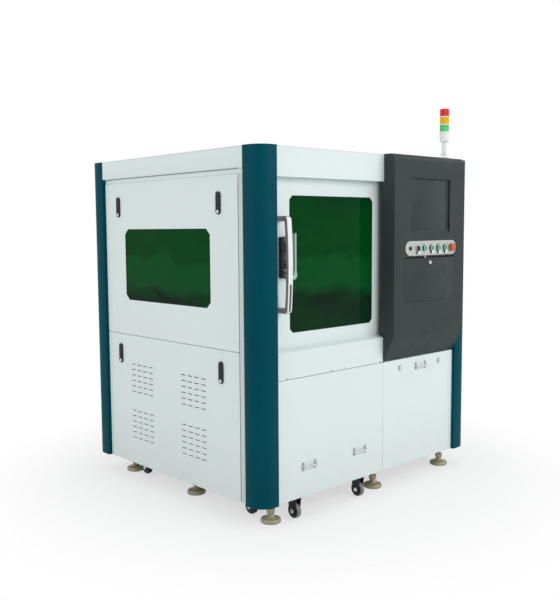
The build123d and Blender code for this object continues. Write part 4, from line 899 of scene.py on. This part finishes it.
def foot_nuts(bm):
    """Lock nut, thread and knurled neck of each foot."""
    for x, y in FEET:
        lathe(bm, (x, y, 0), UP, LOCK_NUT, 6)
        for number in range(THREAD_TURNS):
            lathe(bm, (x, y, THREAD_START + number * THREAD_PITCH), UP, THREAD, 24)
        for angle in angles(FLUTES):
            place = Vector((x, y, FLOOR)) + spoke(angle, RIGHT, BACK) * FLUTE_OUT
            lathe(bm, place, UP, FLUTE, 8)


piece("foot_nuts", "machine", foot_nuts, "foot_metal", nut_metal)
# Rubber pads under the feet; their dark edge is also painted shade at the bottom of each foot.
piece("foot_pads", "machine",
      each(lathe, [(x, y, FLOOR) for x, y in FEET], UP, FOOT_PAD, 48), look=pad_rubber_and_shade)

# Casters: body of the forks, x of the left and right ones, y of the front and rear ones, z of the axles
CASTERS = {
    "cart": ("cart", (245.0, 707.0), (35.0, 820.0), FLOOR + 36.0),
    "caster": ("machine", (125.0, 1475.0), (210.0, 1095.0), FLOOR + 41.0),
}
WHEEL_HALF, FORK_HALF = 13.0, 18.0
HUB_RING = (
    (6.4, 0.05), (31.4, 0.05), (31.4, 0.5), (30.2, 0.75), (27.0, 0.35), (10.5, 0.35), (9.5, 0.75),
    (6.4, 0.75),
)
HUB_SPOKES, HUB_START = 5, 0.3
SPOKE_FOOT, SPOKE_DEEP = 0.3, 0.4
HUB_SPOKE = ((9.0, -2.6), (28.0, -3.8), (28.0, 3.8), (9.0, 2.6))
AXLE_CAP = (
    (0, 0.05), (10.2, 0.05), (10.2, 1.2), (9.4, 1.6), (8.4, 1.6, 6), (8.4, 4.6, 6), (7.2, 5.6, 6), (0, 6.0),
)


def hub(bm, centre):
    """A wheel's hub: a ring and spokes on both sides."""
    for way in (LEFT, RIGHT):
        face = Vector(centre) + way * WHEEL_HALF
        lathe(bm, face, way, HUB_RING, 40)
        for angle in angles(HUB_SPOKES, HUB_START):
            out = spoke(angle, BACK, UP)
            across = way.cross(out)
            foot = [face + out * a + across * b + way * SPOKE_FOOT for a, b in HUB_SPOKE]
            prism(bm, foot, way * SPOKE_DEEP)


def axle_caps(bm, centre):
    """Washers and nuts at both ends of an axle."""
    for way in (LEFT, RIGHT):
        lathe(bm, Vector(centre) + way * FORK_HALF, way, AXLE_CAP, 30)


for group, (fork_body, columns, rows, axle_z) in CASTERS.items():
    wheels = [(x, y, axle_z) for y in rows for x in columns]
    for side, wheel in zip(SIDES, wheels):
        piece(f"{group}_hub_{side}", f"{group}_wheel_{side}", each(hub, [wheel]), "black_steel", hub_black)
    piece(f"{group}_axle_caps", fork_body, each(axle_caps, wheels), "chrome")

# End plates and screws of the bow handles. The end plates are darker than the chrome: painted reflection,
# standing for dark things mirrored in the legs
PULLS = {"cart": ((307.5, 148.0), (676.5, 148.0)), "right_cover": ((1184.5, 526.0),)}
PULL_LEGS = (-42.0, 42.0)
PULL_PLATE_RISE, PULL_SCREW_RISE = 12.35, 13.0
PULL_PLATE_FACE = FRONT_FACE - 4.2
PULL_PLATE_HALF, PULL_SCREW = (4.6, 0.8, 7.05), (2.6, 1.8)


def pull_spots(places, y, rise):
    """Points above and below both legs of the handles."""
    return [(x + leg, y, z + way * rise) for x, z in places for leg in PULL_LEGS for way in (-1, 1)]


for pull_body, pull_places in PULLS.items():
    plates = pull_spots(pull_places, PULL_PLATE_FACE + PULL_PLATE_HALF[1], PULL_PLATE_RISE)
    heads = pull_spots(pull_places, PULL_PLATE_FACE, PULL_SCREW_RISE)
    # Darker end plates: painted reflection of dark surroundings on the legs.
    piece(f"{pull_body}_handle_dark_reflection_plates", pull_body,
          each(block, plates, PULL_PLATE_HALF, 0.5), "chrome", plate_steel)
    piece(f"{pull_body}_handle_screws", pull_body, each(screw, heads, FRONT, *PULL_SCREW), "chrome")

# Seals and strips at the joints of the covers
COVER_SPANS = ((711.5, 1525.0), (0.5, 708.5))
COVER_JOINTS = (143.3, 1262.3)
SEAL_NEAR, SEAL_FAR, SEAL_WIDE, SEAL_SHORT = 5.0, 11.0, 2.4, 4.0
SPLIT_SEAL = ((SEAL_NEAR, 150.0, 708.8), (SEAL_FAR, 1258.0, 711.2))
HEAD_STRIPS = (
    ((0.7, 146.2, 1525.2), (4.0, 1262.0, 1527.8)),
    ((0.7, 143.2, 1499.0), (4.0, 145.8, 1527.8)),
)
# Strip under the left fascia: painted shade for its shadow line.
FASCIA_SHADE_STRIP = ((0.3, 146.0, 1548.8), (3.2, 1262.0, 1553.2))
SILL_STRIP = ((1.0, 709.9), (44.4, 709.9), (44.4, 717.0), (1.0, 710.1))
SILL_LEFT, SILL_LONG = 98.0, 800.0
POST_STRIPS = (
    ((862.8, 1.0, 300.0), (865.2, 18.2, 574.0)),
    ((862.8, 2.0, 60.0), (865.2, 18.2, 300.5)),
)


def cover_seals(bm):
    """Foam strips on the frame that close the joints round the left covers."""
    for low, high in COVER_SPANS:
        for y in COVER_JOINTS:
            corners = (SEAL_NEAR, y, low + SEAL_SHORT), (SEAL_FAR, y + SEAL_WIDE, high - SEAL_SHORT)
            rounded_box(bm, corners, 0.4)
    rounded_box(bm, SPLIT_SEAL, 0.4)


def sill_guide(bm):
    """Sloping guide strip on the sill in front of the sliding door."""
    prism(bm, [(SILL_LEFT, y, z) for y, z in SILL_STRIP], RIGHT * SILL_LONG)


piece("cover_seals", "machine", cover_seals, look=seal_grey)
# Painted strip over the joint above the upper left cover and the top of its front joint
piece("cover_head_strip", "machine", each(rounded_box, HEAD_STRIPS, 0.3), "white_paint")
# Grey strip shaped as a sealing lip in the corner under the left fascia: painted shade for the shadow line
# under the fascia
piece("fascia_shade_line", "machine", each(rounded_box, [FASCIA_SHADE_STRIP], 0.5), look=fascia_shade_grey)
piece("sill_guide", "machine", sill_guide, "white_paint")
# Painted strip on the middle post behind the joint between the cart front and the right cover
piece("front_joint_strip", "machine", each(rounded_box, POST_STRIPS, 0.3), "white_paint")

# Lock rings, sill plugs and cover screws
LOCK_PLACES = [(x, FRONT_FACE, 531.0) for x in (1008.0, 1356.0)]
LOCK_RING = ((13.3, 0.05), (15.2, 0.05), (15.2, 0.7), (14.6, 1.2), (13.3, 1.2))
PLUG_PLACES = [(x, FRONT_FACE, 584.8) for x in (167.0, 468.0, 845.0)]
SILL_PLUG = ((0, 0), (3.2, 0), (3.2, 0.8), (2.4, 1.5), (0, 1.7))
REAR_ROWS, REAR_ENDS = (30.0, 270.0, 520.0, 770.0, 1020.0, 1270.0, 1508.0), (136.0, 1464.0)
REAR_SCREWS = [(x, z) for z in REAR_ROWS for x in REAR_ENDS]
REAR_SCREWS += [(x, z) for x in (360.0, 580.0, 800.0, 1020.0, 1240.0) for z in (30.0, 1508.0)]
SIDE_SCREWS = [(y, z) for y in (172.0, 440.0, 704.0, 968.0, 1236.0) for z in (26.0, 684.0, 738.0, 1508.0)]
SIDE_SCREWS += [(y, z) for z in (240.0, 460.0, 930.0, 1130.0, 1330.0) for y in (172.0, 1236.0)]
COVER_SCREW = (5.0, 3.0)


def panel_screws(bm):
    """Screws round the rear cover and the right side covers."""
    for x, z in REAR_SCREWS:
        screw(bm, (x, REAR_FACE, z), BACK, *COVER_SCREW)
    for y, z in SIDE_SCREWS:
        screw(bm, (RIGHT_FACE, y, z), RIGHT, *COVER_SCREW)


piece("lock_rosettes", "right_cover", each(lathe, LOCK_PLACES, FRONT, LOCK_RING, 36), "black_plastic")
piece("sill_plugs", "machine", each(lathe, PLUG_PLACES, FRONT, SILL_PLUG, 20), "black_plastic")
piece("panel_screws", "machine", panel_screws, "chrome")

# Gantry and head fittings
RAIL_X = (137.5, 852.5)
BLOCK_ENDS = ((530.2, FRONT), (689.8, BACK))
BLOCK_HALF = (24.0, 10.0, 8.5)
BLOCK_Z, BLOCK_SCREW_Z = 680.5, 681.0
BLOCK_SCREWS, BLOCK_SCREW = (-16.0, 16.0), (3.2, 2.4)
CHAIN_LINKS, CHAIN_START, CHAIN_PITCH = 44, 220.0, 12.4
CHAIN_BACK, CHAIN_Z = 678.0, 875.0
LINK_LONG, LINK_DEEP, LINK_HALF = 11.4, 17.0, 9.0
CHAIN_PIN = ((0, -0.2), (3.4, -0.2), (3.2, 0.9), (0, 1.1))
TRAY_LEFT, TRAY_LONG = 200.0, 590.0
TRAY = ((660.0, 846.0), (682.0, 862.0), (682.0, 872.0), (680.4, 872.0), (680.4, 864.0), (660.0, 864.0))
HEAD_X, HEAD_Y = 515.0, 503.4
HEAD_FACE = 471.7
HEAD_SCREWS = [(HEAD_X + aside, z) for aside in (-30.0, 30.0) for z in (806.0, 1004.0)]
HEAD_SCREW = (3.4, 2.6)
NOZZLE_Z, KNOB_Z, SOCKET_Z = 706.0, 860.0, 1020.0
HEAD_KNOB = ((0, 0), (11.0, 0), (11.0, 6.0), (9.6, 8.4), (8.6, 8.4), (8.6, 7.2), (0, 7.2))
FIBRE_SOCKET = (
    (0, 0), (16.0, 0), (16.0, 12.0), (13.0, 14.0), (13.0, 24.0), (9.0, 27.0), (9.0, 40.0), (0, 42.0),
)
NOZZLE_TIP = (
    (2.2, 0.2), (5.4, 0.2), (6.6, 4.0), (12.4, 22.0), (14.4, 24.0), (14.4, 30.0), (12.0, 31.5), (2.2, 31.5),
)


def rail_blocks(bm):
    """Blocks at both ends of the gantry's feet on the rails, with their screws."""
    for x in RAIL_X:
        for y, way in BLOCK_ENDS:
            block(bm, (x, y, BLOCK_Z), BLOCK_HALF, 2.0)
            for aside in BLOCK_SCREWS:
                screw(bm, Vector((x + aside, y, BLOCK_SCREW_Z)) + way * BLOCK_HALF[1], way, *BLOCK_SCREW)


def drag_chain(bm):
    """Cable carrier in a tray along the rear face of the beam, clear of the carriage."""
    for number in range(CHAIN_LINKS):
        x = CHAIN_START + number * CHAIN_PITCH
        low = (x, CHAIN_BACK - LINK_DEEP, CHAIN_Z - LINK_HALF)
        high = (x + LINK_LONG, CHAIN_BACK, CHAIN_Z + LINK_HALF)
        rounded_box(bm, (low, high), 1.6)
        lathe(bm, (x + LINK_LONG / 2, CHAIN_BACK, CHAIN_Z), BACK, CHAIN_PIN, 14)
    prism(bm, [(TRAY_LEFT, y, z) for y, z in TRAY], RIGHT * TRAY_LONG)


def head_fittings(bm):
    """Cover screws, focus knob and fibre socket of the cutting head."""
    for x, z in HEAD_SCREWS:
        screw(bm, (x, HEAD_FACE, z), FRONT, *HEAD_SCREW)
    lathe(bm, (HEAD_X, HEAD_FACE, KNOB_Z), FRONT, HEAD_KNOB, 28)
    lathe(bm, (HEAD_X, HEAD_Y, SOCKET_Z), UP, FIBRE_SOCKET, 28)


piece("rail_blocks", "gantry", rail_blocks, "bare_steel")
piece("drag_chain", "gantry", drag_chain, "black_plastic")
piece("head_fittings", "head", head_fittings, "gantry_aluminium")
piece("nozzle_tip", "head", each(lathe, [(HEAD_X, HEAD_Y, NOZZLE_Z)], UP, NOZZLE_TIP, 28), look=brass)

# Floor and light
FLOOR_HALF = 40.0
SHADOW_REACH = (0.9, 1.9)
SHADOW_FADE = (0.6, 1.0)
FLOOR_TONES = ((0.88, 0.88, 0.88, 1), (0.9, 0.9, 0.9, 1))
WHITE = (1, 1, 1, 1)
SKY_COLOUR, SKY_STRENGTH = (0.97, 0.99, 1, 1), 0.55
LAMPS = (
    ("key_front", (1.2, -5.0, 3.4), (0.1, -0.6, 0.9), (4.0, 2.6), 108),
    ("fill_left", (-5.0, 0.4, 3.0), (-0.8, 0.0, 0.9), (3.6, 2.6), 48),
    ("top", (0.0, 0.0, 5.2), (0.0, 0.0, 1.0), (4.5, 4.5), 50),
)


def seen_rays(tree):
    """1 for rays from the camera and for those from metal and glass, 0 for the rest."""
    path = add(tree, "LightPath").outputs
    seen = worked_out(tree, "MAXIMUM", path["Is Camera Ray"], path["Is Glossy Ray"])
    return worked_out(tree, "MAXIMUM", seen, path["Is Transmission Ray"])


def mixed_shaders(tree, amount, one, two):
    """A shader between two others."""
    return add(tree, "MixShader", {0: amount, 1: one.outputs[0], 2: two.outputs[0]}).outputs[0]


def make_floor():
    """Pale floor that keeps the machine's shadow and fades to white away from it."""
    bm = bmesh.new()
    bmesh.ops.create_grid(bm, x_segments=1, y_segments=1, size=FLOOR_HALF)
    mesh = bpy.data.meshes.new("floor")
    bm.to_mesh(mesh)
    bm.free()
    floor = bpy.data.objects.new("floor", mesh)
    SCENE.collection.objects.link(floor)
    material, tree, place = new_material("floor_pale")
    reach = add(tree, "VectorMath", {0: place}, operation="LENGTH").outputs["Value"]
    fade = mapped(tree, reach, SHADOW_REACH, SHADOW_FADE, "SMOOTHSTEP")
    matt = add(tree, "BsdfDiffuse", {"Color": mixed(tree, noise(tree, place, 5.0), *FLOOR_TONES)})
    white = add(tree, "Emission", {"Color": WHITE, "Strength": 1.0})
    amount = worked_out(tree, "MULTIPLY", seen_rays(tree), fade)
    add(tree, "OutputMaterial", {"Surface": mixed_shaders(tree, amount, matt, white)})
    mesh.materials.append(material)


def make_world():
    """Soft light from all round, with a white background."""
    world = bpy.data.worlds.new("studio")
    SCENE.world = world
    world.use_nodes = True
    tree = world.node_tree
    tree.nodes.clear()
    soft = add(tree, "Background", {"Color": SKY_COLOUR, "Strength": SKY_STRENGTH})
    white = add(tree, "Background", {"Color": WHITE, "Strength": 1.0})
    add(tree, "OutputWorld", {"Surface": mixed_shaders(tree, seen_rays(tree), soft, white)})


def make_lamp(name, place, aim, size, power):
    """A rectangular lamp that points at its aim."""
    data = bpy.data.lights.new(name, "AREA")
    data.shape = "RECTANGLE"
    data.size, data.size_y = size
    data.energy = power
    thing = bpy.data.objects.new(name, data)
    SCENE.collection.objects.link(thing)
    turn = (Vector(aim) - Vector(place)).to_track_quat("-Z", "Y").to_matrix().to_4x4()
    thing.matrix_world = Matrix.Translation(Vector(place)) @ turn


make_floor()
make_world()
for lamp in LAMPS:
    make_lamp(*lamp)
